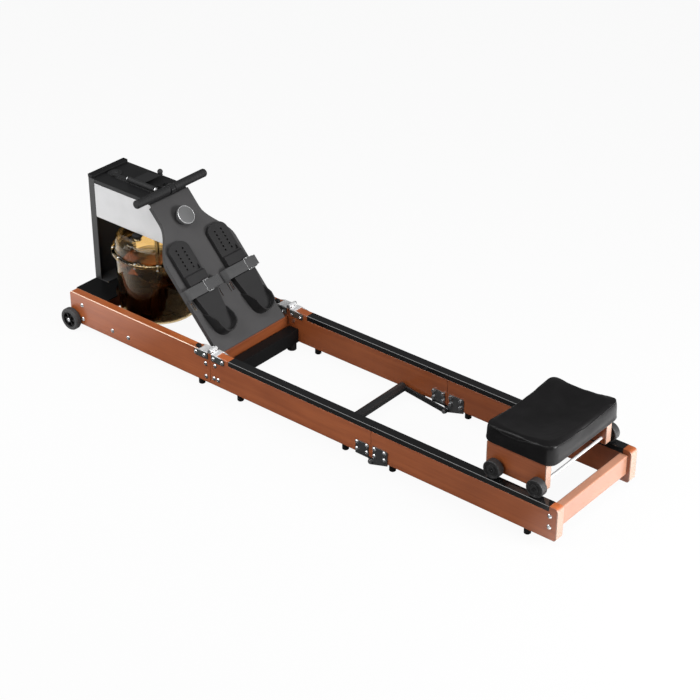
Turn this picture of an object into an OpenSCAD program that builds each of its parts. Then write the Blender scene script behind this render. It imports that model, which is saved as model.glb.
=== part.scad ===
// Folding water rowing machine: three hinged pairs of rails, a water tank with a paddle under a
// drive box, a sloping footboard, and a seat that rolls on the rails.
// Lengths are in millimetres. X runs from the tank end to the seat end, Z is up, and the floor is z = 0.
// Places along the machine are measured from the front end of the rails.

/* [Frame] */
// Length over the rails, all three sections
rail_l = 2025; // [1900:5:2200]
// Width over the outer faces of the rails
frame_w = 420; // [408:2:450]
// Height of a rail
rail_h = 115; // [112:1:125]
// Thickness of a rail
rail_t = 32; // [28:1:36]
// Height of the rails above the floor
floor_gap = 24; // [22:1:28]
// Radius of the rounded rail edges
rail_edge_r = 3; // [1:0.5:5]
// Corner radius of the outer rail ends, seen from the side
rail_end_r = 14; // [4:1:20]
// Gap between two rail ends at a fold
seam_gap = 1; // [0.5:0.1:2]
// Place of the front fold, from the front end
front_seam = 660; // [655:1:680]
// Place of the rear fold, from the front end
rear_seam = 1337; // [1300:1:1370]
// Thickness of the wooden crossbeams
beam_t = 32; // [26:1:34]
// Radius of the rubber feet
foot_r = 11; // [8:0.5:13]

/* [Tracks] */
// Start of the seat track, from the front end
track_start = 742; // [735:1:760]
// Distance from the end of the track to the end of the rail
track_end_gap = 30; // [26:1:50]
// Thickness of the track on top of the rail
track_t = 3; // [2:0.5:4]
// Height of the track's side skirts
track_skirt = 18; // [12:1:24]
// Thickness of the skirts
skirt_t = 2; // [1.5:0.1:2.5]

/* [Fold hinges] */
// Thickness of the steel bracket plates
plate_t = 3; // [2:0.5:4]
// Radius of the front hinge knuckles
knuckle_r = 7; // [6.5:0.5:8]
// Radius of the front hinge pins
front_pin_r = 4; // [3:0.5:4.5]
// Radius of the rear hinge pins
rear_pin_r = 5; // [4:0.5:5.5]
// Depth of the rear hinge axis under the rails
rear_pivot_drop = 13; // [12.5:0.5:14]
// Radial clearance of every turning fit
turn_fit = 0.05; // [0.02:0.01:0.1]
// Clearance between pieces that pass each other
pass_gap = 0.5; // [0.3:0.1:0.8]

/* [Release bar] */
// Radius of the grip tube
release_r = 16; // [12:1:18]
// Distance of the grip tube from the rear hinge axis
release_reach = 175; // [120:5:200]
// Thickness of the side arms
release_arm_t = 5; // [4:0.5:6]

/* [Drive box] */
// Height of the box top above the floor
box_top = 524; // [500:2:545]
// Height of the box underside above the floor
box_floor = 385; // [381:1:395]
// Half width of the box
box_half = 86; // [82:1:92]
// Thickness of the sheet of box, post and footboard
sheet_t = 3; // [2:0.5:4]
// Depth of the post, front to rear
post_depth = 27; // [20:1:34]
// Depth of the black rim along the box top
rim_h = 14; // [10:1:18]
// Length of the floor tray between the front rails
tray_l = 150; // [110:5:160]

/* [Tank] */
// Place of the tank axis, from the front end
tank_x = 225; // [220:1:232]
// How much smaller the tank's radius is at its foot
tank_taper = 6; // [2:0.5:10]
// Outer radius of the tank at its flange
tank_r = 145; // [143:1:150]
// Width of the bolted flange outside the tank
flange_lip = 11; // [9.5:0.5:14]
// Height of the tank underside above the floor
tank_floor = 64; // [60:1:70]
// Height of the flange joint above the floor
flange_z = 298; // [280:2:305]
// Height of the tank top above the floor
tank_top = 374; // [368:1:376]
// Wall of the tank shells
tank_wall = 4; // [3:0.5:5]
// Number of flange bolts
flange_bolts = 12; // [8:1:16]

/* [Drive] */
// Radius of the paddle shaft
shaft_r = 8; // [6:0.5:9]
// Reach of the paddle blades from the shaft axis
paddle_r = 112; // [90:1:120]
// Number of paddle blades
paddle_blades = 6; // [4:1:8]
// Radius of the belt drum
drum_r = 40; // [34:1:44]
// Width of the pull belt
belt_w = 20; // [16:1:22]
// Thickness of the pull belt
belt_t = 1.5; // [1.2:0.1:2]
// Turns of belt on the drum
belt_turns = 4; // [3:1:4]
// Radius of the guide roller
roller_r = 10; // [8:0.5:11]

/* [Handle] */
// Place of the handle axis, from the front end
handle_x = 305; // [303:1:312]
// Radius of the handle tube
bar_r = 12; // [10:0.5:12.5]
// Radius of the grips
grip_r = 14.5; // [13.5:0.5:15]
// Length over the handle
handle_l = 326; // [290:2:420]

/* [Footboard] */
// Slope of the footboard
board_slope = 48; // [46:0.5:50]
// Half width of the board at the feet
board_half = 162; // [156:1:168]
// Depth of the folded edges
board_flange = 16; // [10:1:20]
// Distance of each foot plate from the middle
foot_y = 92; // [88:1:96]
// Radius of the monitor
monitor_r = 32; // [28:1:38]

/* [Seat] */
// Place of the seat, from the front end to the middle of its wheelbase
seat_x = 1859; // [1700:5:1870]
// Distance between the front and rear axles
seat_wheelbase = 153; // [130:1:170]
// Radius of the seat wheels
seat_wheel_r = 29.5; // [26:0.5:32]
// Width of a seat wheel
seat_wheel_w = 25; // [20:1:26]
// Radius of the seat axles
seat_axle_r = 5; // [4:0.5:6]
// Thickness of the wooden seat sides
seat_side_t = 26; // [18:1:28]
// Height of the wooden seat sides
seat_side_h = 91; // [80:1:100]
// Length of the cushion
cushion_l = 254; // [230:2:270]
// Half width of the cushion
cushion_half = 182; // [176:1:188]
// Height of the cushion at its front edge
cushion_front_h = 57; // [45:1:64]
// Height of the cushion at its raised rear edge
cushion_rear_h = 76; // [60:1:84]

/* [Transport wheels] */
// Radius of a transport wheel
wheel_r = 40; // [34:1:42]
// Width of a transport wheel
wheel_w = 24; // [18:1:28]
// Distance of the wheel axis from the front end
wheel_x = 12; // [10:1:16]

/* [Hidden] */
$fn = 64;

// Colours as the photograph shows them
wood = [0.55, 0.29, 0.18];
black = [0.13, 0.13, 0.13];
charcoal = [0.31, 0.31, 0.32];
steel = [0.75, 0.76, 0.78];
amber = [0.45, 0.22, 0.05, 0.6];
rubber = [0.08, 0.08, 0.08];

// The origin lies under the middle of the whole machine, wheels included
middle_x = (rail_l + wheel_x - wheel_r) / 2;
rail_z = floor_gap;
rail_top = floor_gap + rail_h;
half_w = frame_w / 2;
inner_y = half_w - rail_t;
track_end = rail_l - track_end_gap;

// Bolts
bolt_r = 4;
bolt_fit = 0.15;
bolt_head_r = 8;
bolt_head_h = 4.5;
socket_r = 2.6;

// Crossbeams
end_beam_x = 41;
board_foot_x = front_seam - 3;
board_foot_z = rail_top - 26;
foot_beam_x1 = board_foot_x - 1;
foot_beam_x0 = foot_beam_x1 - beam_t;
foot_beam_z0 = rail_z + 10;
foot_beam_z1 = board_foot_z - (sheet_t - (board_foot_x - foot_beam_x1) * sin(board_slope)) / cos(board_slope);
rear_beam_in = 13;
rear_beam_t = 28;
rear_beam_up = 29;
rear_beam_h = 68;
rear_beam_x1 = rail_l - rear_beam_in;
rear_beam_x0 = rear_beam_x1 - rear_beam_t;
rear_beam_z = [rail_z + rear_beam_up, rail_z + rear_beam_up + rear_beam_h];
member_gap = 3;
member_w = 40;
member_x = [front_seam + member_gap, front_seam + member_gap + member_w];
member_h = 50;
member_wall = 2.5;

// Places of the feet along the machine
front_foot_x = front_seam - 55;
middle_foot_x = [front_seam + 117, rear_seam - 115];
rear_foot_x = [rear_seam + 73, rail_l - 110];
member_foot_r = 16;
member_foot_x = front_seam + member_gap + member_w / 2 + 5;
member_foot_y = inner_y - member_foot_r - 2;
foot_row_y = half_w - rail_t / 2;

// Bolt places as [x, z] on the rail faces
end_beam_bolts = [for (z = [24, 78]) [end_beam_x + beam_t / 2, rail_z + z]];
cradle_front = 45;
cradle_back = 75;
cradle_x = [tank_x - cradle_front, tank_x + cradle_back];
cradle_bolt_in = 22;
cradle_bolt_drop = 9;
cradle_bolts = [for (x = [cradle_x[0] + cradle_bolt_in, cradle_x[1] - cradle_bolt_in])
    [x, tank_floor - cradle_bolt_drop]];
foot_beam_bolts = [for (z = [21, 70]) [foot_beam_x0 + beam_t / 2, rail_z + z]];
front_bracket_bolts = [for (x = [-60, -22]) [front_seam + x, rail_top - 14]];
rear_bracket_bolts = [for (x = [18, 56]) [front_seam + x, rail_top - 14]];
member_bolts = [for (x = [member_x[0] + 13, member_x[1] - 9]) [x, rail_z + 26]];
plate_bolts = [[front_seam + 22, rail_z + 76]];
end_plate_x = [9, 60];
end_plate_top = 45;
end_bolt_dx = [15, 54];
end_bolt_z = [13, 38];
middle_end_bolts = [for (x = end_bolt_dx, z = end_bolt_z) [rear_seam - x, rail_z + z]];
rear_end_bolts = [for (x = end_bolt_dx, z = end_bolt_z) [rear_seam + x, rail_z + z]];
rear_beam_bolt_in = 15;
rear_beam_bolts = [for (z = [rear_beam_bolt_in, rear_beam_h - rear_beam_bolt_in])
    [rear_beam_x0 + rear_beam_t / 2, rear_beam_z[0] + z]];

// Front hinge
front_pivot_z = rail_top + knuckle_r + pass_gap;
front_knuckle_w = 10;
knuckle_side_gap = 1;
leaf_start = knuckle_r + 1;

// Rear hinge
rear_pivot_z = rail_z - rear_pivot_drop;
rear_lug_r = rear_pivot_drop - plate_t - pass_gap - 0.5;
nut_h = 5;
release_arm_y = inner_y - plate_t - nut_h - pass_gap - 0.5 - release_arm_t;
lug_t = 5;
lug_y = [inner_y + 6, half_w - 6 - lug_t];

// Drive
bearing_or = 16;
bearing_flange_r = 22;
bearing_h = 10;
drum_z = box_floor + 33;
drum_flange_t = 3;
drum_z1 = drum_z + belt_w + 2 * drum_flange_t + 4;
coil_r = drum_r + belt_turns * belt_t;
drum_flange_r = coil_r + 8;
spring_turns = 5;
spring_strip = 1.2;
spring_h = 12;
roller_x = handle_x - 37;
roller_z = box_top + 3;
roller_half = belt_w / 2 + 2;
roller_pin_r = 3;
cheek_t = 4;
belt_z = roller_z + roller_r + 0.3;
handle_z = belt_z + 7;
clip_half = 9;
clip_r = bar_r + 4.5;
clip_jaw = 2;
seal_gap = 1;

// Footboard: distances run up the slope from its lower edge
foot_gap = 0.3;
board_l = (box_top - 10 - board_foot_z) / sin(board_slope);
neck_half = box_half + foot_gap + sheet_t;
shoulder_s = 325;
neck_s = 465;
monitor_s = board_l - 84;
monitor_face = 28;
strap_s = [197, 235];
strap_t = 2.4;
strap_under = 22.6;
strap_inner_y = 14;
slot_y = [20, 31, 37, 147, 154];
slot_s = [162, 192];
slot_w = 3.5;
toe_h = 16;
heel_h = 22;
toe_half = 44;
heel_half = 50;
cup_foot = 40;
cup_r = 33;
cup_wall = 4;
cup_h = 48;
cup_back_h = 36;
cup_s = [cup_foot, cup_foot + 26, cup_foot + 54, cup_foot + 86, cup_foot + 100];

// Tablet holder
tab_y = -30;
tab_r = 9;
tab_pin_r = 3;
tab_z = box_top + 15;
tab_x = [145, 254];
tab_plate_t = 3;

// Seat
seat_axle_z = rail_top + seat_wheel_r + 0.3;
seat_axle_x = [seat_x - seat_wheelbase / 2, seat_x + seat_wheelbase / 2];
seat_side_y = inner_y - 6;
seat_side_x = [seat_axle_x[0] - 41, seat_axle_x[1] + 17];
seat_side_z = rail_top + 11;
seat_top = seat_side_z + seat_side_h;
seat_wheel_y = inner_y + 1;
seat_base_t = 14;
cushion_x0 = seat_x - 134;
cushion_r = 34;

// Moves a piece from the front end's scale to the model's own origin
module placed() {
    translate([-middle_x, 0, 0]) children();
}

// The pieces of the +Y side and their mirror image
module both_sides() {
    children();
    mirror([0, 1, 0]) children();
}

// Rectangle with round corners
module round_rect(w, h, r) {
    translate([r, 0]) square([w - 2 * r, h]);
    translate([0, r]) square([w, h - 2 * r]);
    for (x = [r, w - r], y = [r, h - r]) translate([x, y]) circle(r);
}

// An outline drawn in X and Z, given thickness t from y towards +Y
module side_plate(y, t) {
    translate([0, y + t, 0]) rotate([90, 0, 0]) linear_extrude(t) children();
}

// A bar of length l along X from x, with the outline drawn in Y and Z
module along_x(x, l) {
    translate([x, 0, 0]) rotate([90, 0, 90]) linear_extrude(l) children();
}

// Cylinder along Y from y, length l
module along_y(x, y, z, r, l) {
    translate([x, y, z]) rotate([-90, 0, 0]) cylinder(r = r, h = l);
}

// Dome-headed bolt: the head stands on z = 0 and the shank hangs below it
module dome_bolt(shank, head_r = bolt_head_r, head_h = bolt_head_h, r = bolt_r) {
    sphere_r = (head_r * head_r + head_h * head_h) / (2 * head_h);
    difference() {
        intersection() {
            translate([0, 0, head_h - sphere_r]) sphere(sphere_r);
            cylinder(r = head_r, h = head_h);
        }
        translate([0, 0, head_h - 2.5]) cylinder(r = socket_r, h = 3, $fn = 6);
    }
    translate([0, 0, -shank]) cylinder(r = r, h = shank);
}

// Bolts through the +Y rail, standing on the face at y
module rail_bolts(places, y, shank) {
    for (p = places) translate([p[0], y, p[1]]) rotate([-90, 0, 0]) dome_bolt(shank);
}

// Holes for those bolts, from y0 to y1
module rail_holes(places, y0, y1) {
    for (p = places) along_y(p[0], y0, p[1], bolt_r + bolt_fit, y1 - y0);
}

// One rail on the +Y side; r0 and r1 round its ends as seen from the side
module rail(x0, x1, r0, r1) {
    intersection() {
        side_plate(inner_y, rail_t) {
            translate([x0 + r0, rail_z]) square([x1 - x0 - r0 - r1, rail_h]);
            translate([x0, rail_z + r0]) square([r0 + 1, rail_h - 2 * r0]);
            translate([x1 - r1 - 1, rail_z + r1]) square([r1 + 1, rail_h - 2 * r1]);
            for (z = [rail_z + r0, rail_top - r0]) translate([x0 + r0, z]) circle(r0);
            for (z = [rail_z + r1, rail_top - r1]) translate([x1 - r1, z]) circle(r1);
        }
        along_x(x0, x1 - x0) translate([inner_y, rail_z]) round_rect(rail_t, rail_h, rail_edge_r);
    }
}

// The step that a track sits in, cut from the top of a rail
module track_seat(x0, x1) {
    translate([x0, inner_y - 1, rail_top - track_t]) cube([x1 - x0, rail_t + 2, track_t + 1]);
    for (y = [inner_y - 1, half_w - skirt_t]) {
        translate([x0, y, rail_top - track_skirt]) cube([x1 - x0, skirt_t + 1, track_skirt + 1]);
    }
}

// Seat track of the +Y side: a capping with side skirts and chamfered edges
module track(x0, x1) {
    chamfer = 1.2;
    along_x(x0, x1 - x0) difference() {
        polygon([
            [inner_y, rail_top - track_skirt], [inner_y, rail_top - chamfer],
            [inner_y + chamfer, rail_top], [half_w - chamfer, rail_top],
            [half_w, rail_top - chamfer], [half_w, rail_top - track_skirt]
        ]);
        translate([inner_y + skirt_t, rail_top - track_skirt - 1])
            square([rail_t - 2 * skirt_t, track_skirt + 1 - track_t]);
    }
}

// Rubber foot under a rail, with a chamfered sole
module foot(x, y) {
    sole = 2;
    translate([x, y, 0]) {
        cylinder(r1 = foot_r - sole, r2 = foot_r, h = sole);
        translate([0, 0, sole]) cylinder(r = foot_r, h = rail_z - sole);
    }
}

// A wooden crossbeam between the rails
module crossbeam(x0, x1, z0, z1) {
    translate([0, -inner_y, 0]) rotate([-90, 0, 0]) linear_extrude(2 * inner_y)
        translate([x0, -z1]) round_rect(x1 - x0, z1 - z0, rail_edge_r);
}

// Front section

module front_rails() {
    color(wood) placed() both_sides() difference() {
        rail(0, front_seam - seam_gap / 2, rail_end_r - 6, rail_edge_r);
        rail_holes(concat(end_beam_bolts, cradle_bolts, foot_beam_bolts, front_bracket_bolts),
            inner_y - 1, half_w + 1);
        along_y(wheel_x, inner_y - 1, wheel_r, bolt_r + bolt_fit, rail_t + 2);
    }
}

module front_beams() {
    shank_in = 20;
    color(wood) placed() difference() {
        union() {
            crossbeam(end_beam_x, end_beam_x + beam_t, rail_z + 12, rail_top - sheet_t);
            crossbeam(foot_beam_x0, foot_beam_x1, foot_beam_z0, foot_beam_z1);
        }
        both_sides() rail_holes(concat(end_beam_bolts, foot_beam_bolts), inner_y - shank_in, inner_y + 1);
    }
}

// Sheet tray that closes the front bay, folded down against the rails behind the end beam
module base_tray() {
    fold_x = end_beam_x + beam_t + 1;
    fold_h = 34;
    tank_gap = 4;
    color(black) placed() {
        difference() {
            translate([0, -inner_y, rail_top - sheet_t]) cube([tray_l, 2 * inner_y, sheet_t]);
            translate([tank_x, 0, rail_top - sheet_t - 1]) cylinder(r = tank_r + tank_gap, h = sheet_t + 2);
        }
        both_sides() translate([fold_x, inner_y - sheet_t, rail_top - fold_h])
            cube([tray_l - fold_x, sheet_t, fold_h]);
        translate([0, -inner_y, rail_top - fold_h]) cube([sheet_t, 2 * inner_y, fold_h]);
    }
}

// Bent steel strap that carries the tank, bolted to both rails
module tank_cradle() {
    flange_h = 24;
    relief_y = 70;
    relief_r = 24;
    color(black) placed() difference() {
        union() {
            translate([cradle_x[0], -inner_y, tank_floor - sheet_t])
                cube([cradle_x[1] - cradle_x[0], 2 * inner_y, sheet_t]);
            both_sides() translate([cradle_x[0], inner_y - sheet_t, tank_floor - flange_h])
                cube([cradle_x[1] - cradle_x[0], sheet_t, flange_h]);
        }
        both_sides() rail_holes(cradle_bolts, inner_y - sheet_t - 1, inner_y + 1);
        for (y = [-relief_y, relief_y])
            translate([tank_x, y, tank_floor - sheet_t - 1]) cylinder(r = relief_r, h = sheet_t + 2);
    }
}

// Channel post at the front end, with a foot on the tray
module head_post() {
    foot_l = 60;
    color(charcoal) placed() {
        along_x(0, sheet_t) translate([-box_half, rail_top]) round_rect(2 * box_half, box_top - rail_top, 2);
        both_sides() side_plate(box_half - sheet_t, sheet_t) polygon([
            [0, rail_top], [post_depth + 4, rail_top], [post_depth, rail_top + 12],
            [post_depth, box_top], [0, box_top]
        ]);
        translate([0, -box_half, rail_top]) cube([foot_l, 2 * box_half, sheet_t]);
    }
}

// Rounded bar along the front edge of the box top
module head_top_bar() {
    bar_x = [-8, 20];
    bar_half = box_half - 2;
    bar_h = 11;
    color(black) placed() intersection() {
        translate([bar_x[0], -bar_half, box_top]) linear_extrude(bar_h)
            round_rect(bar_x[1] - bar_x[0], 2 * bar_half, 7);
        side_plate(-bar_half, 2 * bar_half) translate([bar_x[0], box_top - 8])
            round_rect(bar_x[1] - bar_x[0], bar_h + 8, 5);
    }
}

// Place on the rear face of the footboard sheet at height z
function board_back_x(z) = board_foot_x
    - (sheet_t + foot_gap + (z - board_foot_z) * cos(board_slope)) / sin(board_slope);

// Side outline of the drive box, drawn in by m all round
module box_outline(m) {
    z0 = box_floor + m;
    z1 = box_top - m;
    draw_in = m / sin(board_slope);
    polygon([
        [sheet_t + m, z0], [board_back_x(z0) - draw_in, z0],
        [board_back_x(z1) - draw_in, z1], [sheet_t + m, z1]
    ]);
}

// Folded box under the footboard's head: top, underside, front and sloping rear, open at the sides
module box_shell() {
    panel_y = box_half - sheet_t;
    color(black) placed() difference() {
        union() {
            side_plate(-panel_y, 2 * panel_y) difference() {
                box_outline(0);
                box_outline(sheet_t);
            }
            both_sides() side_plate(panel_y, sheet_t) difference() {
                polygon([
                    [post_depth, box_top - rim_h], [board_back_x(box_top - rim_h), box_top - rim_h],
                    [board_back_x(box_top), box_top], [post_depth, box_top]
                ]);
            }
        }
        translate([tank_x, 0, box_floor - 1]) cylinder(r = shaft_r + 2, h = sheet_t + 2);
        translate([roller_x - roller_r - 4, -roller_half - 0.5, box_top - sheet_t - 1])
            cube([2 * roller_r + 7, 2 * roller_half + 1, sheet_t + 2]);
    }
}

// Light side panels of the drive box
module side_panels() {
    panel_y = box_half - sheet_t;
    edge = 0.4;
    color([0.9, 0.9, 0.9]) placed() both_sides() side_plate(panel_y, sheet_t) polygon([
        [post_depth + edge, box_floor], [board_back_x(box_floor) - edge, box_floor],
        [board_back_x(box_top - rim_h) - edge, box_top - rim_h - edge],
        [post_depth + edge, box_top - rim_h - edge]
    ]);
}

// Frame of the footboard: x runs down the slope from the lower edge, z stands off its face
module on_board() {
    translate([board_foot_x, 0, board_foot_z]) rotate([0, board_slope, 0]) children();
}

// Half width of the footboard at a distance s up the slope
function board_edge(s) =
    let (t = min(1, max(0, (neck_s - s) / (neck_s - shoulder_s))))
    neck_half + (board_half - neck_half) * t * t * (3 - 2 * t);

// Outline of the footboard, drawn in by m at the sides only
module board_outline(m, s0, s1) {
    steps = 10;
    wave = [for (i = [0:steps]) shoulder_s + (neck_s - shoulder_s) * i / steps];
    half = concat([s0], wave, [s1]);
    polygon(concat(
        [for (s = half) [-s, board_edge(s) - m]],
        [for (i = [len(half) - 1:-1:0]) [-half[i], m - board_edge(half[i])]]
    ));
}

module foot_board() {
    flange_s = [34, board_l - 8];
    slot_l = slot_s[1] - slot_s[0];
    color(charcoal) placed() on_board() difference() {
        union() {
            translate([0, 0, -sheet_t]) linear_extrude(sheet_t) board_outline(0, 0, board_l);
            translate([0, 0, -board_flange]) linear_extrude(board_flange) difference() {
                board_outline(0, flange_s[0], flange_s[1]);
                board_outline(sheet_t, flange_s[0] - 1, flange_s[1] + 1);
            }
        }
        both_sides() {
            for (y = slot_y) translate([-slot_s[1], y - slot_w / 2, -sheet_t - 1])
                cube([slot_l, slot_w, sheet_t + 2]);
            translate([-strap_s[1] - 1, strap_inner_y - strap_t - 0.3, -sheet_t - 1])
                cube([strap_s[1] - strap_s[0] + 2, strap_t + 0.6, sheet_t + 2]);
        }
        translate([-monitor_s, 0, -sheet_t - 1]) cylinder(r = 5, h = sheet_t + 2);
    }
}

// Moulding on the box top: cheeks for the guide roller, its pin, and two shelves for the handle
module handle_rest() {
    cheek_x = [roller_x - 13, roller_x + 12];
    cheek_y = roller_half + pass_gap;
    shelf_y = [cheek_y + cheek_t + 6, cheek_y + cheek_t + 26];
    shelf_x = [handle_x - grip_r - 8, board_back_x(box_top) + 6];
    shelf_z = handle_z - grip_r - 0.3;
    color(black) placed() {
        both_sides() {
            side_plate(cheek_y, cheek_t) difference() {
                union() {
                    translate([cheek_x[0], box_top]) square([cheek_x[1] - cheek_x[0], belt_z - box_top]);
                    translate([roller_x, belt_z]) circle(cheek_x[1] - roller_x);
                }
                translate([cheek_x[0] - 2, box_top - 20]) square([cheek_x[1] - cheek_x[0] + 4, 20]);
            }
            difference() {
                side_plate(shelf_y[0], shelf_y[1] - shelf_y[0]) polygon([
                    [shelf_x[0] - 8, box_top], [shelf_x[1] - 7, box_top], [shelf_x[1], shelf_z],
                    [shelf_x[1], shelf_z + 1], [handle_x, shelf_z + 1], [handle_x, handle_z - 2],
                    [shelf_x[0], handle_z - 2]
                ]);
                along_y(handle_x, shelf_y[0] - 1, handle_z, grip_r + 0.3, shelf_y[1] - shelf_y[0] + 2);
                translate([handle_x, shelf_y[0] - 1, shelf_z])
                    cube([40, shelf_y[1] - shelf_y[0] + 2, 30]);
            }
        }
        along_y(roller_x, -cheek_y, roller_z, roller_pin_r, 2 * cheek_y);
    }
}

// Round monitor on a short stem
module monitor() {
    stem_h = 12;
    rim = 2;
    color([0.45, 0.45, 0.46]) placed() on_board() translate([-monitor_s, 0, 0]) {
        cylinder(r = monitor_r - 9, h = stem_h);
        translate([0, 0, stem_h]) cylinder(r1 = monitor_r - 3, r2 = monitor_r, h = 3);
        difference() {
            translate([0, 0, stem_h + 3]) cylinder(r = monitor_r, h = monitor_face - stem_h - 3);
            translate([0, 0, monitor_face - 0.8]) cylinder(r = monitor_r - rim, h = 1);
        }
    }
}

// Flanged bearings of the paddle shaft, one on the box floor and one under the box top
module bearing() {
    difference() {
        union() {
            cylinder(r = bearing_flange_r, h = 3);
            cylinder(r = bearing_or, h = bearing_h);
        }
        translate([0, 0, -1]) cylinder(r = shaft_r + turn_fit, h = bearing_h + 2);
    }
}

module shaft_bearings() {
    color(steel) placed() {
        translate([tank_x, 0, box_floor + sheet_t]) bearing();
        translate([tank_x, 0, box_top - sheet_t]) mirror([0, 0, 1]) bearing();
    }
}

// Belt from the guide roller down to the drum: a strip that twists a quarter turn on the way
lead_steps = 14;
lead_from = [roller_x - roller_r - belt_t, 0, roller_z - 3];
lead_to = [tank_x + 6, coil_r + 0.8, drum_z + drum_flange_t + 2 + belt_w / 2];
lead_pull = [50, 110];
function lead_at(t) =
    let (p1 = lead_from - [0, 0, lead_pull[0]], p2 = lead_to + [lead_pull[1], 0, 0], u = 1 - t)
    u * u * u * lead_from + 3 * u * u * t * p1 + 3 * u * t * t * p2 + t * t * t * lead_to;
function unit(v) = v / norm(v);
function lead_dir(t) = unit(lead_at(min(1, t + 0.01)) - lead_at(max(0, t - 0.01)));
function lead_ring(t) =
    let (
        d = lead_dir(t),
        blend = t * t * (3 - 2 * t),
        raw = [0, cos(90 * blend), sin(90 * blend)],
        w = unit(raw - (raw * d) * d) * belt_w / 2,
        n = unit(cross(d, w)) * belt_t / 2,
        p = lead_at(t)
    )
    [p - w - n, p + w - n, p + w + n, p - w + n];

module belt_lead() {
    rings = [for (i = [0:lead_steps]) lead_ring(i / lead_steps)];
    last = 4 * lead_steps;
    color(black) placed() polyhedron(
        points = [for (r = rings) each r],
        faces = concat(
            [[0, 1, 2, 3]],
            [for (i = [0:lead_steps - 1], k = [0:3])
                let (a = 4 * i + k, b = 4 * i + (k + 1) % 4) each [[a, a + 4, b], [b, a + 4, b + 4]]],
            [[last + 3, last + 2, last + 1, last]]
        )
    );
}

// Tank

// Points on an arc, from angle a0 to a1
function arc(x, y, r, a0, a1, n = 8) = [for (i = [0:n]) let (a = a0 + (a1 - a0) * i / n) [x + r * cos(a), y + r * sin(a)]];

flange_t = 5;
gasket_t = 1;
flange_r = tank_r + flange_lip;
tank_foot_r = tank_r - tank_taper;
neck_r = 46;

module tank_lower() {
    corner = 26;
    z0 = tank_floor;
    z1 = flange_z;
    color(amber) placed() translate([tank_x, 0, 0]) difference() {
        rotate_extrude() polygon(concat(
            [[0, z0]],
            arc(tank_foot_r - corner, z0 + corner, corner, -90, 0),
            [
                [tank_r, z1 - flange_t - 3], [flange_r - 1, z1 - flange_t], [flange_r, z1 - flange_t + 1],
                [flange_r, z1], [tank_r - tank_wall, z1]
            ],
            arc(tank_foot_r - corner, z0 + corner, corner - tank_wall, 0, -90),
            [[0, z0 + tank_wall]]
        ));
        for (i = [0:flange_bolts - 1]) rotate([0, 0, (i + 0.5) * 360 / flange_bolts])
            translate([(tank_r + flange_r) / 2 + 0.5, 0, z1 - flange_t - 5]) cylinder(r = 2.1, h = flange_t + 6);
    }
}

module tank_upper() {
    corner = 34;
    z0 = flange_z + gasket_t;
    color(amber) placed() translate([tank_x, 0, 0]) difference() {
        rotate_extrude() polygon(concat(
            [[tank_r - tank_wall, z0], [flange_r, z0], [flange_r, z0 + flange_t - 1], [flange_r - 1, z0 + flange_t],
                [tank_r, z0 + flange_t + 3]],
            arc(tank_r - 2 - corner, tank_top - 8 - corner, corner, 0, 82),
            [[neck_r + 3, tank_top], [neck_r, tank_top + 2], [neck_r, box_floor], [neck_r - tank_wall, box_floor],
                [neck_r - tank_wall, tank_top - tank_wall]],
            arc(tank_r - 2 - corner, tank_top - 8 - corner, corner - tank_wall, 82, 0)
        ));
        for (i = [0:flange_bolts - 1]) rotate([0, 0, (i + 0.5) * 360 / flange_bolts])
            translate([(tank_r + flange_r) / 2 + 0.5, 0, z0 - 1]) cylinder(r = 2.1, h = flange_t + 6);
        translate([0, -plug_y, tank_top - 40]) cylinder(r = plug_r + 0.1, h = 60);
    }
}

plug_y = 88;
plug_r = 13;

// Gasket between the shells, the seal round the shaft and the filling plug
module tank_seals() {
    color(rubber) placed() translate([tank_x, 0, 0]) {
        translate([0, 0, flange_z]) difference() {
            cylinder(r = tank_r + 1, h = gasket_t);
            translate([0, 0, -1]) cylinder(r = tank_r - tank_wall, h = gasket_t + 2);
        }
        translate([0, 0, box_floor - 5]) difference() {
            cylinder(r = neck_r - tank_wall, h = 5);
            translate([0, 0, -1]) cylinder(r = shaft_r + seal_gap, h = 7);
        }
        translate([0, -plug_y, tank_top - 14]) cylinder(r = plug_r, h = 17);
        translate([0, -plug_y, tank_top + 3]) cylinder(r = plug_r + 5, h = 4);
    }
}

module tank_bolts() {
    color(steel) placed() translate([tank_x, 0, 0])
        for (i = [0:flange_bolts - 1]) rotate([0, 0, (i + 0.5) * 360 / flange_bolts])
            translate([(tank_r + flange_r) / 2 + 0.5, 0, flange_z + gasket_t + flange_t + 1.5]) {
                dome_bolt(2 * flange_t + gasket_t + 8, 4.2, 2.6, 2);
                translate([0, 0, -2 * flange_t - gasket_t - 8]) cylinder(r = 4, h = 4.5, $fn = 6);
            }
}

module front_feet() {
    color(rubber) placed() both_sides() foot(front_foot_x, foot_row_y);
}

// Bolts of the front section, and the axle bolts of the transport wheels
module front_bolts() {
    color(steel) placed() both_sides() {
        rail_bolts(concat(end_beam_bolts, foot_beam_bolts), half_w, rail_t + 18);
        rail_bolts(cradle_bolts, half_w, rail_t + sheet_t + 6);
        rail_bolts(front_bracket_bolts, half_w + plate_t, rail_t + 2 * plate_t + 6);
        for (p = cradle_bolts) bolt_nut(p, inner_y - sheet_t);
        for (p = front_bracket_bolts) bolt_nut(p, inner_y - plate_t);
        along_y(wheel_x, inner_y - 4, wheel_r, bolt_r, rail_t + wheel_w + 8);
        along_y(wheel_x, half_w, wheel_r, bolt_r + 3, 1.6);
        translate([wheel_x, half_w + wheel_w + 3, wheel_r]) rotate([-90, 0, 0]) dome_bolt(1, 7, 4);
        along_y(wheel_x, inner_y - 6, wheel_r, 7, 6);
    }
}

// Nut on the inner face, standing towards the middle
module bolt_nut(p, y) {
    translate([p[0], y - nut_h, p[1]]) rotate([-90, 0, 0]) cylinder(r = 6.5, h = nut_h, $fn = 6);
}

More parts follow.
